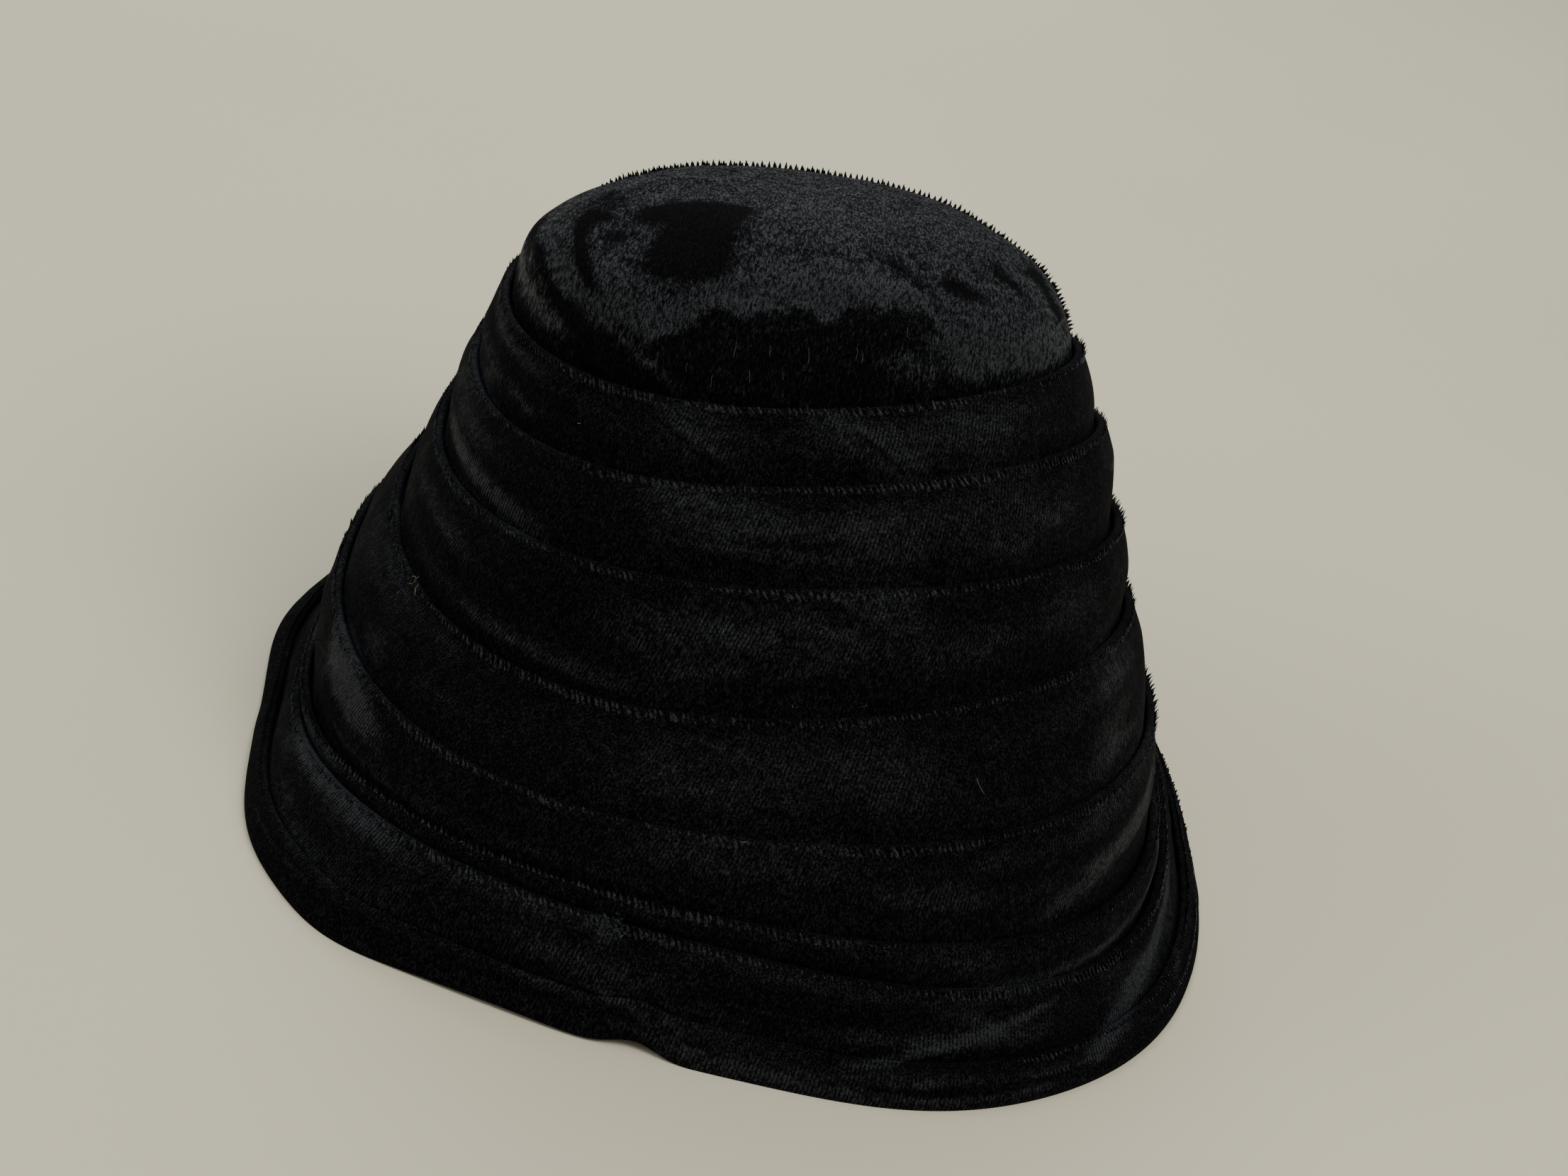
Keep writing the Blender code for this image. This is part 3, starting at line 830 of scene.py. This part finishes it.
def dome_row(turn, inset):
    """Ring of the dome at a turn of 0 at its wall to 1 at its middle, set in from the outer face.

    Width and height follow a superellipse: full at the wall, rounded at the shoulder, and nearly flat on top.
    """
    seam = SEAMS[0]
    centre = COARSE[0].mean(axis=0)
    rise = np.sin(turn * np.pi / 2) ** (2 / DOME_ROUNDNESS)
    reach = np.cos(turn * np.pi / 2) ** (2 / DOME_FULLNESS)
    inset = inset - fold_height(rise) * (1 - turn**4)
    spoke = LINES[0] - centre
    tilt_x = (seam.right - seam.left) / (2 * seam.half_width)
    tilt_y = (seam.front - seam.back) / (2 * seam.half_width * CROWN_DEPTH_RATIO)
    axis = unit(np.array([-tilt_x, -tilt_y, 1.0]))
    level = spoke[:, 0] * tilt_x + spoke[:, 1] * tilt_y
    spoke[:, 2] = level + (spoke[:, 2] - level) * (1 - rise) ** 2
    length = np.linalg.norm(spoke, axis=1, keepdims=True)
    spoke = spoke * (1 - inset[:, None] / length) * reach
    return centre + spoke + axis * (DOME_HEIGHT - inset[:, None]) * rise


def fine_dome_row(turn, inset=0.0, fine=None):
    """A ring of the dome with its dents and ripples, which fade in from the wall and out at the middle."""
    fine = min(6 * turn, 1.0) if fine is None else fine
    relief = MM * mark_sum(THETA, turn, CROWN_DENTS) + ripples(dome_row(turn, inset), CROWN_SEED)
    return dome_row(turn, inset - relief * fine * (1 - turn**6))


def sheen_edge():
    """Turn at which the crown's dark wall gives way to the painted sheen of its top: a line round it plus
    seeded sines.
    """
    edge = np.interp(DEGREES, *zip(*SHEEN_EDGE_LINE))
    draw = np.random.default_rng(EDGE_SEED)
    for count in EDGE_COUNTS:
        edge = edge + 0.30 / count * np.sin(count * THETA + draw.uniform(0, 6.3))
    return edge


def make_crown(material):
    """The crown tip: tail inside the first band, wall, shoulder and top, then the same again inside."""
    turns = np.linspace(0, 1, DOME_STEPS + 1)[1:-1]
    outer_tail, inner_tail = (off_bell(LINES, THETA, LAPS[0], t) for t in (-TUCK, -TUCK - WALL))
    outer = [outer_tail, LINES[0]] + [fine_dome_row(turn) for turn in turns]
    inner = [inner_tail] + [fine_dome_row(turn, WALL, 0.0) for turn in [0.0, *turns[:: DOME_STEPS // 8]]]
    rows = np.stack(outer + inner[::-1])
    count, columns = rows.shape[:2]
    half = len(outer)
    quads = np.delete(ring_quads(count, columns), half - 1, axis=0).reshape(-1, 4)
    index = np.arange(count * columns).reshape(count, columns)
    side = np.roll(index, -1, axis=1)
    outer_pole, inner_pole = np.full((2, columns), count * columns) + [[0], [1]]
    triangles = [np.stack([index[half - 1], side[half - 1], outer_pole], axis=-1)]
    triangles.append(np.stack([side[half], index[half], inner_pole], axis=-1))
    pole = dome_row(1.0, 0.0).mean(axis=0)
    points = np.concatenate([rows.reshape(-1, 3), [pole, pole - (0, 0, WALL)]]) + SHIFT
    obj = make_mesh("crown_tip_velvet", points, np.roll(quads[:, ::-1], 1, axis=1), np.concatenate(triangles))
    edge = sheen_edge()
    # Painted sheen of the outer rows, a painted highlight at the top's pole, and the resting level inside
    nap_and_sheen = [crown_nap_and_sheen(row + SHIFT, turn, edge) for row, turn in zip(outer, [0.0, 0.0, *turns])]
    nap_and_sheen += [np.full_like(THETA, RESTING_NAP_AND_SHEEN)] * len(inner)
    lay_nap_and_sheen(obj, np.concatenate([np.stack(nap_and_sheen).ravel(), [POLE_SHEEN, RESTING_NAP_AND_SHEEN]]))
    dress(obj, material, "crown_tip")


# Tufts of pile


def make_tubes(name, points):
    """Closed four-sided tubes as one mesh, from their points by tube, ring and corner."""
    index = np.arange(points[..., 0].size).reshape(points.shape[:3])
    start, end = index[:, :-1], index[:, 1:]
    sides = np.stack([start, np.roll(start, -1, axis=2), np.roll(end, -1, axis=2), end], axis=-1)
    return make_mesh(name, points, np.concatenate([sides.reshape(-1, 4), index[:, 0, ::-1], index[:, -1]]))


def axes(along, near_out):
    """Unit directions round, up and out, from one round the hat and one that is roughly outwards."""
    along = unit(along)
    out = unit(near_out - along * (near_out * along).sum(axis=-1, keepdims=True))
    return along, np.cross(out, along), out


def tuft_mesh(name, base, directions, length, width, stand, lean, material, nap_and_sheen):
    """Small leaning tufts, each a tapering four-sided blade that bends outwards, as one mesh.

    A point at share s up a blade is base + length * s * (up * cos + along * sin) + out * stand * s squared.
    """
    along, up, out = directions
    way = up * np.cos(lean)[:, None] + along * np.sin(lean)[:, None]
    across = unit(np.cross(out, way))
    rings = []
    for s, girth in TUFT_RINGS:
        middle = base + way * (length * s)[:, None] + out * (stand * s**2)[:, None]
        wide = across * (width * girth / 2)[:, None]
        thick = out * (width * girth * TUFT_FLATNESS)[:, None]
        rings.append(np.stack([middle + wide, middle + thick, middle - wide, middle - thick], axis=1))
    obj = make_tubes(name, np.stack(rings, axis=1))
    lay_nap_and_sheen(obj, np.repeat(nap_and_sheen, 4 * len(TUFT_RINGS)))
    dress(obj, material)


def spaced_places(row, pitch, draw, first, last):
    """Places about a pitch apart along a closed row, between two angles: point before, share to the next."""
    steps = steps_of(row)
    total = running(steps)
    count = int(total[-1] / pitch)
    at = (np.arange(count) + draw.uniform(-0.16, 0.16, count)) * total[-1] / count
    at = at % total[-1]
    before = np.searchsorted(total, at, side="right") - 1
    keep = (DEGREES[before] >= first) & (DEGREES[before] <= last)
    return before[keep], ((at - total[before]) / steps[before])[keep]


def pick(rows, before, share):
    """Values of a closed row between its points."""
    return rows[before] * (1 - share[:, None]) + rows[(before + 1) % len(rows)] * share[:, None]


def make_fold_tufts(name, u, face, scale, material, slot, seed, first=-180.0, last=180.0):
    """The row of tufts that the stitches part along a folded edge, their painted sheen lighter and darker in
    turn.
    """
    draw = np.random.default_rng(TUFT_SEED + seed)
    places, which = np.unique(np.broadcast_to(u, THETA.shape), return_inverse=True)
    row = np.stack([off_bell(LINES, THETA, place, face) for place in places])
    row = row[which, np.arange(len(THETA))] + SHIFT
    before, share = spaced_places(row, TUFT_PITCH, draw, first, last)
    near_out = pick(bell_normal(LINES, float(np.mean(u))), before, share)
    directions = axes(pick(np.roll(row, -1, axis=0) - row, before, share), near_out)
    count = len(before)
    length = scale * TUFT_LENGTH * draw.uniform(*LENGTH_SHARES, count)
    width = TUFT_WIDTH * draw.uniform(*WIDTH_SHARES, count)
    stand = scale * TUFT_STAND * draw.uniform(*STAND_SHARES, count)
    lean = np.radians(TUFT_LEAN + draw.normal(0, LEAN_SPREAD, count))
    stand *= 1 + RIGHT_SIDE_STAND * bump(THETA, 5, 35)[before]
    around = THETA[before]
    # Painted sheen of each tuft, lighter and darker in turn round the hat
    fade = 0.55 + 0.45 * np.sin(7 * around + seed) * np.sin(3 * around + 2 * seed)
    nap_and_sheen = 0.30 + 0.85 * fade + draw.uniform(-0.15, 0.15, count)
    base = pick(row, before, share) - directions[1] * (0.55 * length)[:, None] - directions[2] * (0.12 * MM)
    tuft_mesh(name, base, directions, length, width, stand, lean, material, nap_and_sheen)


def make_crown_teeth(name, material):
    """Rows of pile that stand up where the crown tip turns away on its far side, each a little lower."""
    draw = np.random.default_rng(TUFT_SEED + 50)
    turns = np.linspace(0.1, 0.9, 161)
    rows = np.stack([fine_dome_row(turn) for turn in turns])
    column = np.arange(len(THETA))
    line = np.interp(DEGREES, *zip(*TEETH_LINE))
    parts = []
    for number, step in enumerate(TEETH_ROWS):
        place = np.clip((line - step - turns[0]) / (turns[1] - turns[0]), 0, len(turns) - 1.01)
        low = place.astype(int)
        weight = (place - low)[:, None]
        row = rows[low, column] * (1 - weight) + rows[low + 1, column] * weight
        before, share = spaced_places(row, TUFT_PITCH, draw, TEETH_LINE[0][0], TEETH_LINE[-1][0])
        along = pick(np.roll(row, -1, axis=0) - row, before, share)
        near_out = np.cross(along, pick(rows[low + 1, column] - rows[low, column], before, share))
        tall = np.full(len(before), 1 - TEETH_SHORTER * number)
        parts.append((pick(row, before, share) + SHIFT, *axes(along, near_out), tall))
    base, along, up, out, tall = (np.concatenate(part) for part in zip(*parts))
    count = len(base)
    length = 0.5 * MM * draw.uniform(0.6, 1.2, count)
    width = TEETH_WIDTH * draw.uniform(0.85, 1.1, count)
    stand = TEETH_STAND * tall * draw.uniform(0.75, 1.15, count)
    lean = np.radians(draw.normal(0, 12, count))
    # Painted sheen of the teeth
    nap_and_sheen = 0.30 + draw.uniform(-0.15, 0.15, count)
    base = base - out * (0.15 * MM)
    tuft_mesh(name, base, (along, up, out), length, width, stand, lean, material, nap_and_sheen)


# Lint, a hair, and the knot at the join


# A place below 0 is a turn up the dome of the crown tip
Fibre = namedtuple("Fibre", "angle place length heading curl")
LINT = [Fibre(*row) for row in (
    (-127.0, 0.60, 1.3, 10, 40),
    (-84.0, 2.92, 1.1, 80, 60),
    (-74.0, 2.92, 1.0, 20, 30),
    (-88.0, 4.04, 1.7, 5, 50),
    (-148.0, 3.08, 4.2, 70, 80),
    (-147.0, 3.05, 4.6, -30, -110),
    (-146.0, 3.10, 3.0, 118, 60),
    (-148.5, 3.00, 2.4, 20, -70),
    (-121.0, 5.20, 1.2, 30, 30),
    (-96.0, 2.35, 1.0, 60, 40),
)]
HAIR = (Fibre(-57.0, 3.74, 17.0, 92, -70),)
CROWN_HAIRS = [Fibre(*row) for row in (
    (-101.0, -0.17, 4.6, 88, 14),
    (-94.0, -0.19, 3.0, 92, -10),
    (-87.0, -0.17, 4.4, 90, 20),
    (-104.0, -0.06, 3.6, 84, -16),
    (-97.0, -0.09, 3.4, 95, 18),
    (-109.0, -0.10, 2.6, 86, 10),
    (-78.0, -0.19, 3.8, 80, 24),
    (-76.5, -0.18, 3.0, 78, -12),
    (-67.0, -0.28, 3.2, 76, 16),
    (-91.0, -0.11, 2.2, 94, 12),
)]
# Name, fibres, thickness, and the name and two colours of the material
LOOSE_FIBRES = (
    ("lint", LINT, 0.13 * MM, "pale_lint", (0.06, 0.07, 0.03, 1.0), (0.24, 0.26, 0.14, 1.0)),
    ("stray_hair", HAIR, 0.12 * MM, "grey_hair", (0.06, 0.06, 0.06, 1.0), (0.20, 0.20, 0.21, 1.0)),
    ("crown_hairs", CROWN_HAIRS, 0.11 * MM, "dark_hair", (0.015, 0.015, 0.015, 1.0), (0.07, 0.07, 0.08, 1.0)),
)
FIBRE_POINTS = 12
KNOT_ANGLE = -102.4
KNOT_PLACE = 6.10
KNOT_TUFTS = 26
KNOT_REACH = 2.6 * MM


def cloth_place(angle, place):
    """Point on the cloth at an angle and place, with the directions round, up and out there."""
    column = int(np.argmin(np.abs(round_from(THETA, angle))))
    if place < 0:
        row = fine_dome_row(-place) + SHIFT
    else:
        face = band_face(place - min(int(place), BANDS))
        row = off_bell(LINES, THETA, place, face + creases(place)) + SHIFT
    along = row[(column + 1) % len(row)] - row[column - 1]
    if place < 0:
        near_out = np.cross(along, fine_dome_row(0.02 - place)[column] + SHIFT - row[column])
    else:
        near_out = bell_normal(LINES, place)[column]
    return row[column], *axes(along, near_out)


def make_fibres(name, fibres, thickness, material):
    """Loose fibres on the cloth, each a thin four-sided tube along an arc that lies on its face.

    The arc's heading turns evenly by its curl from one end to the other.
    """
    steps = np.linspace(0, 1, FIBRE_POINTS)
    turns = np.linspace(0, 2 * np.pi, 4, endpoint=False)
    tubes = []
    for f in fibres:
        base, along, up, out = cloth_place(f.angle, f.place)
        heading = np.radians(f.heading + f.curl * (steps - 0.5))
        way = np.cos(heading)[:, None] * along + np.sin(heading)[:, None] * up
        middle = base + np.cumsum(way, axis=0) * (f.length * MM / FIBRE_POINTS)
        middle = middle + out * (0.35 + 0.25 * np.sin(steps * 7 + f.angle))[:, None] * MM
        side = np.cross(out, way)
        ring = np.cos(turns)[None, :, None] * side[:, None] + np.sin(turns)[None, :, None] * out
        tubes.append(middle[:, None] + ring * thickness / 2)
    dress(make_tubes(name, np.stack(tubes)), material)


def make_knot(name, material):
    """The knot of crushed pile where the folds are joined: tufts that lie every way round one place."""
    draw = np.random.default_rng(TUFT_SEED + 70)
    middle, *directions = cloth_place(KNOT_ANGLE, KNOT_PLACE)
    along, up, out = (np.tile(way, (KNOT_TUFTS, 1)) for way in directions)
    round_, high = draw.normal(0, 0.5, (2, KNOT_TUFTS, 1)) * KNOT_REACH
    base = middle + round_ * along + 1.6 * high * up - out * (0.1 * MM)
    lean = draw.uniform(-1.4, 1.4, KNOT_TUFTS)
    length = draw.uniform(1.6, 3.0, KNOT_TUFTS) * MM
    stand = draw.uniform(0.3, 1.1, KNOT_TUFTS) * MM
    width = draw.uniform(0.6, 1.0, KNOT_TUFTS) * MM
    # Painted sheen of the knot's tufts
    nap_and_sheen = draw.uniform(0.6, 1.1, KNOT_TUFTS)
    tuft_mesh(name, base, (along, up, out), length, width, stand, lean, material, nap_and_sheen)


# Materials


class Field:
    """A shader value that can be used in Python expressions."""

    def __init__(self, tree, socket):
        self.tree = tree
        self.socket = socket

    def math(self, operation, *values, clamp=False):
        node = self.tree.nodes.new("ShaderNodeMath")
        node.operation = operation
        node.use_clamp = clamp
        for socket, value in zip(node.inputs, values):
            if isinstance(value, Field):
                self.tree.links.new(value.socket, socket)
            else:
                socket.default_value = value
        return Field(self.tree, node.outputs[0])

    def __add__(self, other):
        return self.math("ADD", self, other)

    def __sub__(self, other):
        return self.math("SUBTRACT", self, other)

    def __rsub__(self, other):
        return self.math("SUBTRACT", other, self)

    def __mul__(self, other):
        return self.math("MULTIPLY", self, other)

    def __truediv__(self, other):
        return self.math("DIVIDE", self, other)

    __radd__ = __add__
    __rmul__ = __mul__

    def sine(self):
        return self.math("SINE", self)

    def clamped(self):
        return self.math("ADD", self, 0.0, clamp=True)

    def smooth(self, low, high):
        """0 below low, 1 above high, and smooth between."""
        share = ((self - low) / (high - low)).clamped()
        return share * share * (3.0 - 2.0 * share)


class Material:
    """A new material, with one method for any node."""

    def __init__(self, name):
        self.material = bpy.data.materials.new(name)
        self.material.use_nodes = True
        self.tree = self.material.node_tree
        self.tree.nodes.clear()

    def node(self, kind, settings=None, **sockets):
        made = self.tree.nodes.new(kind)
        for key, value in (settings or {}).items():
            setattr(made, key, value)
        for key, value in sockets.items():
            self.fill(made.inputs[key.replace("_", " ")], value)
        return made

    def fill(self, socket, value):
        if isinstance(value, Field):
            self.tree.links.new(value.socket, socket)
        else:
            socket.default_value = value

    def field(self, kind, output, settings=None, **sockets):
        return Field(self.tree, self.node(kind, settings, **sockets).outputs[output])

    def place(self, scale, sway=None):
        """Object coordinates, moved by a sway along each axis and then stretched by a scale for each axis."""
        where = self.field("ShaderNodeTexCoord", "Object")
        if sway is not None:
            moved = self.node("ShaderNodeVectorMath", {"operation": "ADD"})
            self.fill(moved.inputs[0], where)
            self.fill(moved.inputs[1], sway)
            where = Field(self.tree, moved.outputs["Vector"])
        return self.field("ShaderNodeMapping", "Vector", {"vector_type": "POINT"}, Vector=where, Scale=scale)

    def noise(self, place, scale, detail=2.0, roughness=0.55):
        sockets = {"Vector": place, "Scale": scale, "Detail": detail, "Roughness": roughness}
        return self.field("ShaderNodeTexNoise", "Fac", **sockets)

    def mix_color(self, share, first, second):
        mixed = self.node("ShaderNodeMix", {"data_type": "RGBA"})
        for index, value in ((0, share), (6, first), (7, second)):
            self.fill(mixed.inputs[index], value)
        return Field(self.tree, mixed.outputs[2])

    def finish(self, shader):
        out = self.node("ShaderNodeOutputMaterial")
        self.tree.links.new(shader.outputs[0], out.inputs["Surface"])
        return self.material


DARK_PILE = (0.0009, 0.0009, 0.0010, 1.0)
DEEP_PILE = (0.0100, 0.0091, 0.0104, 1.0)
# Grey pile of painted sheen, mixed over the black pile where the painted sheen lies
PAINTED_SHEEN_PILE = (0.0060, 0.0067, 0.0070, 1.0)
PAINTED_SHEEN_COOL_PILE = (0.0260, 0.0290, 0.0305, 1.0)
SHEEN_TINT = (0.62, 0.70, 0.78, 1.0)
TWILL_PITCH = 1.05 * MM

# How fine the pile's noises are, for each metre, and how far a hair sways
CLOUD_SCALE = 85.0
CLUMP_SCALES = (420.0, 420.0, 420.0)
SPECK_SCALE = 2600.0
MOTTLE_SCALE = 330.0
SWAY_SCALE = 130.0
SWAY = 2.2 * MM

# The twill: how lit the pile is between its lines, and how much more on them
TWILL_SHARES = (0.30, 1.4)
TWILL_WAY = (0.95, 0.32)  # the way across its lines: its parts round the hat and down it
TWILL_WANDER = 5.0
BUMP_STRENGTH = 0.55
BUMP_DISTANCE = 0.6 * MM

# Looks of the pile: how fine its hairs and its strands are along each axis, whether the twill shows, how
# ragged the edges of its painted sheen are, and the sheens and share of the deep colour
Look = namedtuple("Look", "hairs strands twill ragged lit_sheen deep_share dark_sheen")
CROWN_LOOK = Look((2600.0, 700.0, 700.0), (1500.0, 340.0, 340.0), False, 0.8, 0.128, 0.50, 0.009)
BAND_LOOK = Look((2200.0, 2200.0, 800.0), None, True, 0.34, 0.112, 1.0, 0.011)
TUFT_LOOK = Look((900.0, 900.0, 900.0), None, False, 0.5, 0.22, 1.0, 0.008)


def twill(v, cloud):
    """The weave's steep lines on the cloth's own map: a sine of the distance across them, from 0 to 1."""
    parts = v.node("ShaderNodeSeparateXYZ", Vector=v.field("ShaderNodeUVMap", "UV", {"uv_map": "cloth"}))
    around, down = (Field(v.tree, parts.outputs[axis]) for axis in "XY")
    across = around * TWILL_WAY[0] + down * TWILL_WAY[1]
    turns = across * (2 * np.pi / TWILL_PITCH) + (cloud - 0.5) * TWILL_WANDER
    return turns.sine() * 0.5 + 0.5


def mixed_pile(v, mask, away, towards, normal):
    """Mixes the black pile with its grey copy of painted sheen, by the mask."""
    both = v.node("ShaderNodeMixShader", Fac=mask.clamped())
    names = ("Base_Color", "Roughness", "Specular_IOR_Level", "Sheen_Weight", "Sheen_Roughness")
    for number, values in ((1, away), (2, towards)):
        sockets = dict(zip(names, values), Sheen_Tint=SHEEN_TINT, Normal=normal)
        shader = v.node("ShaderNodeBsdfPrincipled", **sockets)
        v.tree.links.new(shader.outputs[0], both.inputs[number])
    return both


def velvet_material(name, look):
    """Black velvet: almost black pile, mixed with a grey copy of it that is painted sheen.

    Where the painted sheen lies comes from the piece's attribute of brushed pile and painted sheen and
    shade; clouds and hair-fine noise break its edges up. Bands cut on the bias show a faint twill, whose
    steep lines run on the cloth's own map.
    """
    v = Material(name)
    nap_and_sheen = v.field("ShaderNodeAttribute", "Fac", {"attribute_type": "GEOMETRY", "attribute_name": "nap_and_sheen"})
    where = v.place((1.0, 1.0, 1.0))
    cloud = v.noise(where, CLOUD_SCALE, 3.0, 0.6)
    clump = v.noise(v.place(look.strands or CLUMP_SCALES), 1.0, 2.0, 0.6)
    speck = v.noise(where, SPECK_SCALE, 1.0, 0.5)
    mottle = v.noise(where, MOTTLE_SCALE, 2.0, 0.6)
    sway = SWAY * (v.noise(where, SWAY_SCALE, 1.0) - 0.5)
    pile = v.noise(v.place(look.hairs, sway), 1.0, 2.0, 0.6)
    # Painted sheen and shade from the attribute, with edges made ragged by noise
    rough = look.ragged * (0.5 + 0.5 * nap_and_sheen.smooth(0.0, 0.45))
    brush = nap_and_sheen + (pile + clump * 0.7 + mottle * 1.1 - 1.4) * rough + (cloud - 0.5) * 0.34
    grain = (pile * 0.65 + speck * 0.35).smooth(0.38, 0.66)
    low, rise = (0.55, 0.75) if look.twill else (0.28, 1.2)
    least, more = (0.40, 1.25) if look.strands else (0.75, 0.5)
    mask = brush.smooth(-0.05, 1.0) * (low + rise * grain) * (least + more * clump.smooth(0.36, 0.66))
    height = pile * 0.9 + speck * 0.5 + cloud * 0.5
    if look.twill:
        wale = twill(v, cloud)
        mask = mask * (TWILL_SHARES[0] + TWILL_SHARES[1] * wale)
        height = height + wale * 0.45
    bump_sockets = {"Strength": BUMP_STRENGTH, "Distance": BUMP_DISTANCE, "Height": height}
    normal = v.field("ShaderNodeBump", "Normal", **bump_sockets)
    dark = v.mix_color((grain * (0.3 + 0.9 * clump)).smooth(0.1, 0.9) * look.deep_share, DARK_PILE, DEEP_PILE)
    # Grey colour of the painted sheen
    lit = v.mix_color(grain, PAINTED_SHEEN_PILE, PAINTED_SHEEN_COOL_PILE)
    away = (dark, 0.85, 0.01, look.dark_sheen, 0.35)
    towards = (lit, 0.62, 0.06, look.lit_sheen, 0.30)
    return v.finish(mixed_pile(v, mask, away, towards, normal))


def mottled_material(name, first, second, scale, detail, roughness):
    """A plain material, a little uneven in colour between two."""
    v = Material(name)
    colour = v.mix_color(v.noise(v.place((1.0, 1.0, 1.0)), scale, detail), first, second)
    return v.finish(v.node("ShaderNodeBsdfPrincipled", Base_Color=colour, Roughness=roughness))


# Camera, floor and light

FLOOR_RADIUS = 6.0
FLOOR_STEPS = 96
FLOOR_COLOURS = ((0.55, 0.505, 0.36, 1.0), (0.61, 0.565, 0.415, 1.0))
WORLD_COLOUR = (0.95, 0.96, 1.0, 1.0)
WORLD_STRENGTH = 0.55
# Name, place, aim, size, power and colour
LIGHTS = (
    ("key", (0.9, -0.9, 1.5), (0, 0, 0.1), 0.9, 22.0, (1.0, 0.97, 0.93)),
    ("over", (-0.2, 1.3, 1.3), (0, 0, 0.12), 1.0, 16.0, (0.95, 0.98, 1.0)),
    ("side", (-1.4, -0.3, 0.8), (0, 0, 0.1), 0.9, 8.0, (0.94, 0.97, 1.0)),
)


def set_camera():
    """The camera at the photo's angle: up and round the hat, rolled, and shifted to the photo's framing."""
    up, round_, roll = np.radians([CAMERA_UP, CAMERA_ROUND, CAMERA_ROLL])
    back = np.array([np.sin(round_) * np.cos(up), -np.cos(round_) * np.cos(up), np.sin(up)])
    right = np.array([np.cos(round_), np.sin(round_), 0.0])
    over = np.cross(back, right)
    turned_right = np.cos(roll) * right + np.sin(roll) * over
    turned_over = -np.sin(roll) * right + np.cos(roll) * over
    eye = np.array(CAMERA_AIM) + back * CAMERA_DISTANCE
    data = bpy.data.cameras.new("camera")
    data.sensor_width = SENSOR
    data.lens = SENSOR * FOCAL_PIXELS / PHOTO_WIDTH
    data.shift_x = -AIM_RIGHT_PIXELS / PHOTO_WIDTH
    data.shift_y = -AIM_UP_PIXELS / PHOTO_WIDTH
    data.clip_start = 0.01
    camera = bpy.data.objects.new("camera", data)
    turn = np.stack([turned_right, turned_over, back], axis=-1)
    camera.matrix_world = Matrix.Translation(eye.tolist()) @ Matrix(turn.tolist()).to_4x4()
    bpy.context.scene.collection.objects.link(camera)
    bpy.context.scene.camera = camera


def add_light(name, place, aim, size, power, colour):
    """A soft square light that faces its aim."""
    data = bpy.data.lights.new(name, "AREA")
    data.shape = "SQUARE"
    data.size = size
    data.energy = power
    data.color = colour
    light = bpy.data.objects.new(name, data)
    back = unit(np.array(place) - np.array(aim))
    side = unit(np.cross((0.0, 0.0, 1.0), back))
    turn = np.stack([side, np.cross(back, side), back], axis=-1)
    light.matrix_world = Matrix.Translation(place) @ Matrix(turn.tolist()).to_4x4()
    bpy.context.scene.collection.objects.link(light)


def set_stage():
    """A round pale floor, soft lights and a pale world."""
    angles = np.linspace(0, 2 * np.pi, FLOOR_STEPS, endpoint=False)
    rim = FLOOR_RADIUS * np.stack([np.cos(angles), np.sin(angles), np.zeros(FLOOR_STEPS)], axis=-1)
    floor = make_mesh("floor", rim, [range(FLOOR_STEPS)])
    floor.data.materials.append(mottled_material("pale_floor", *FLOOR_COLOURS, 3.0, 2.0, 0.9))
    for light in LIGHTS:
        add_light(*light)
    world = bpy.data.worlds.new("pale_room")
    world.use_nodes = True
    background = world.node_tree.nodes["Background"]
    background.inputs["Color"].default_value = WORLD_COLOUR
    background.inputs["Strength"].default_value = WORLD_STRENGTH
    bpy.context.scene.world = world


def make_tufts(tufts):
    """Tufts along every fold, the binding and the join."""
    for k in range(BANDS + 1):
        slot = "velvet_bands" if k < BANDS else "velvet_brim"
        face = band_face(WALL / 2 / GAPS[k])
        make_fold_tufts(f"fold_tufts_{k + 1}", k + 1.2 * MM / GAPS[k], face, 1.0, tufts, slot, k)
    top = BINDING_START + 1.0 * MM / GAPS[-1]
    make_fold_tufts("rim_tufts", top, GAP + WALL, 0.6, tufts, "velvet_brim", 9, -56.0, 40.0)
    middle = BINDING_START + 0.55 * (len(SEAMS) - 1 - BINDING_START)
    proud = GAP + WALL + 0.4 * MM
    make_fold_tufts("rim_edge_tufts", middle, proud, 0.6, tufts, "velvet_brim", 10, -62.0, 20.0)
    join = np.interp(DEGREES, *zip(*JOIN_LINE)).round(2)
    make_fold_tufts("join_tufts", join, GAP + WALL, 0.8, tufts, "velvet_brim", 12, *JOIN_ENDS)


def main():
    set_camera()
    set_stage()
    crown = velvet_material("crown_velvet", CROWN_LOOK)
    bands = velvet_material("band_velvet", BAND_LOOK)
    brim = velvet_material("brim_velvet", BAND_LOOK)
    tufts = velvet_material("tuft_velvet", TUFT_LOOK)
    make_crown(crown)
    for k in range(BANDS):
        name = f"band_{k + 1}"
        make_band(k, f"{name}_velvet", name, BAND_SEED + k, k + 1, k + 1 + LAPS[k + 1], bands)
    brim_tail = BINDING_START + 0.5 * (BANDS + 1 - BINDING_START)
    make_band(BANDS, "brim_velvet", "brim_band", BRIM_SEED, BINDING_START, brim_tail, brim)
    make_binding(brim)
    make_tufts(tufts)
    make_crown_teeth("crown_pile_rows", crown)
    make_knot("join_knot", tufts)
    for name, fibres, thickness, material, first, second in LOOSE_FIBRES:
        make_fibres(name, fibres, thickness, mottled_material(material, first, second, 900.0, 1.0, 0.7))


main()
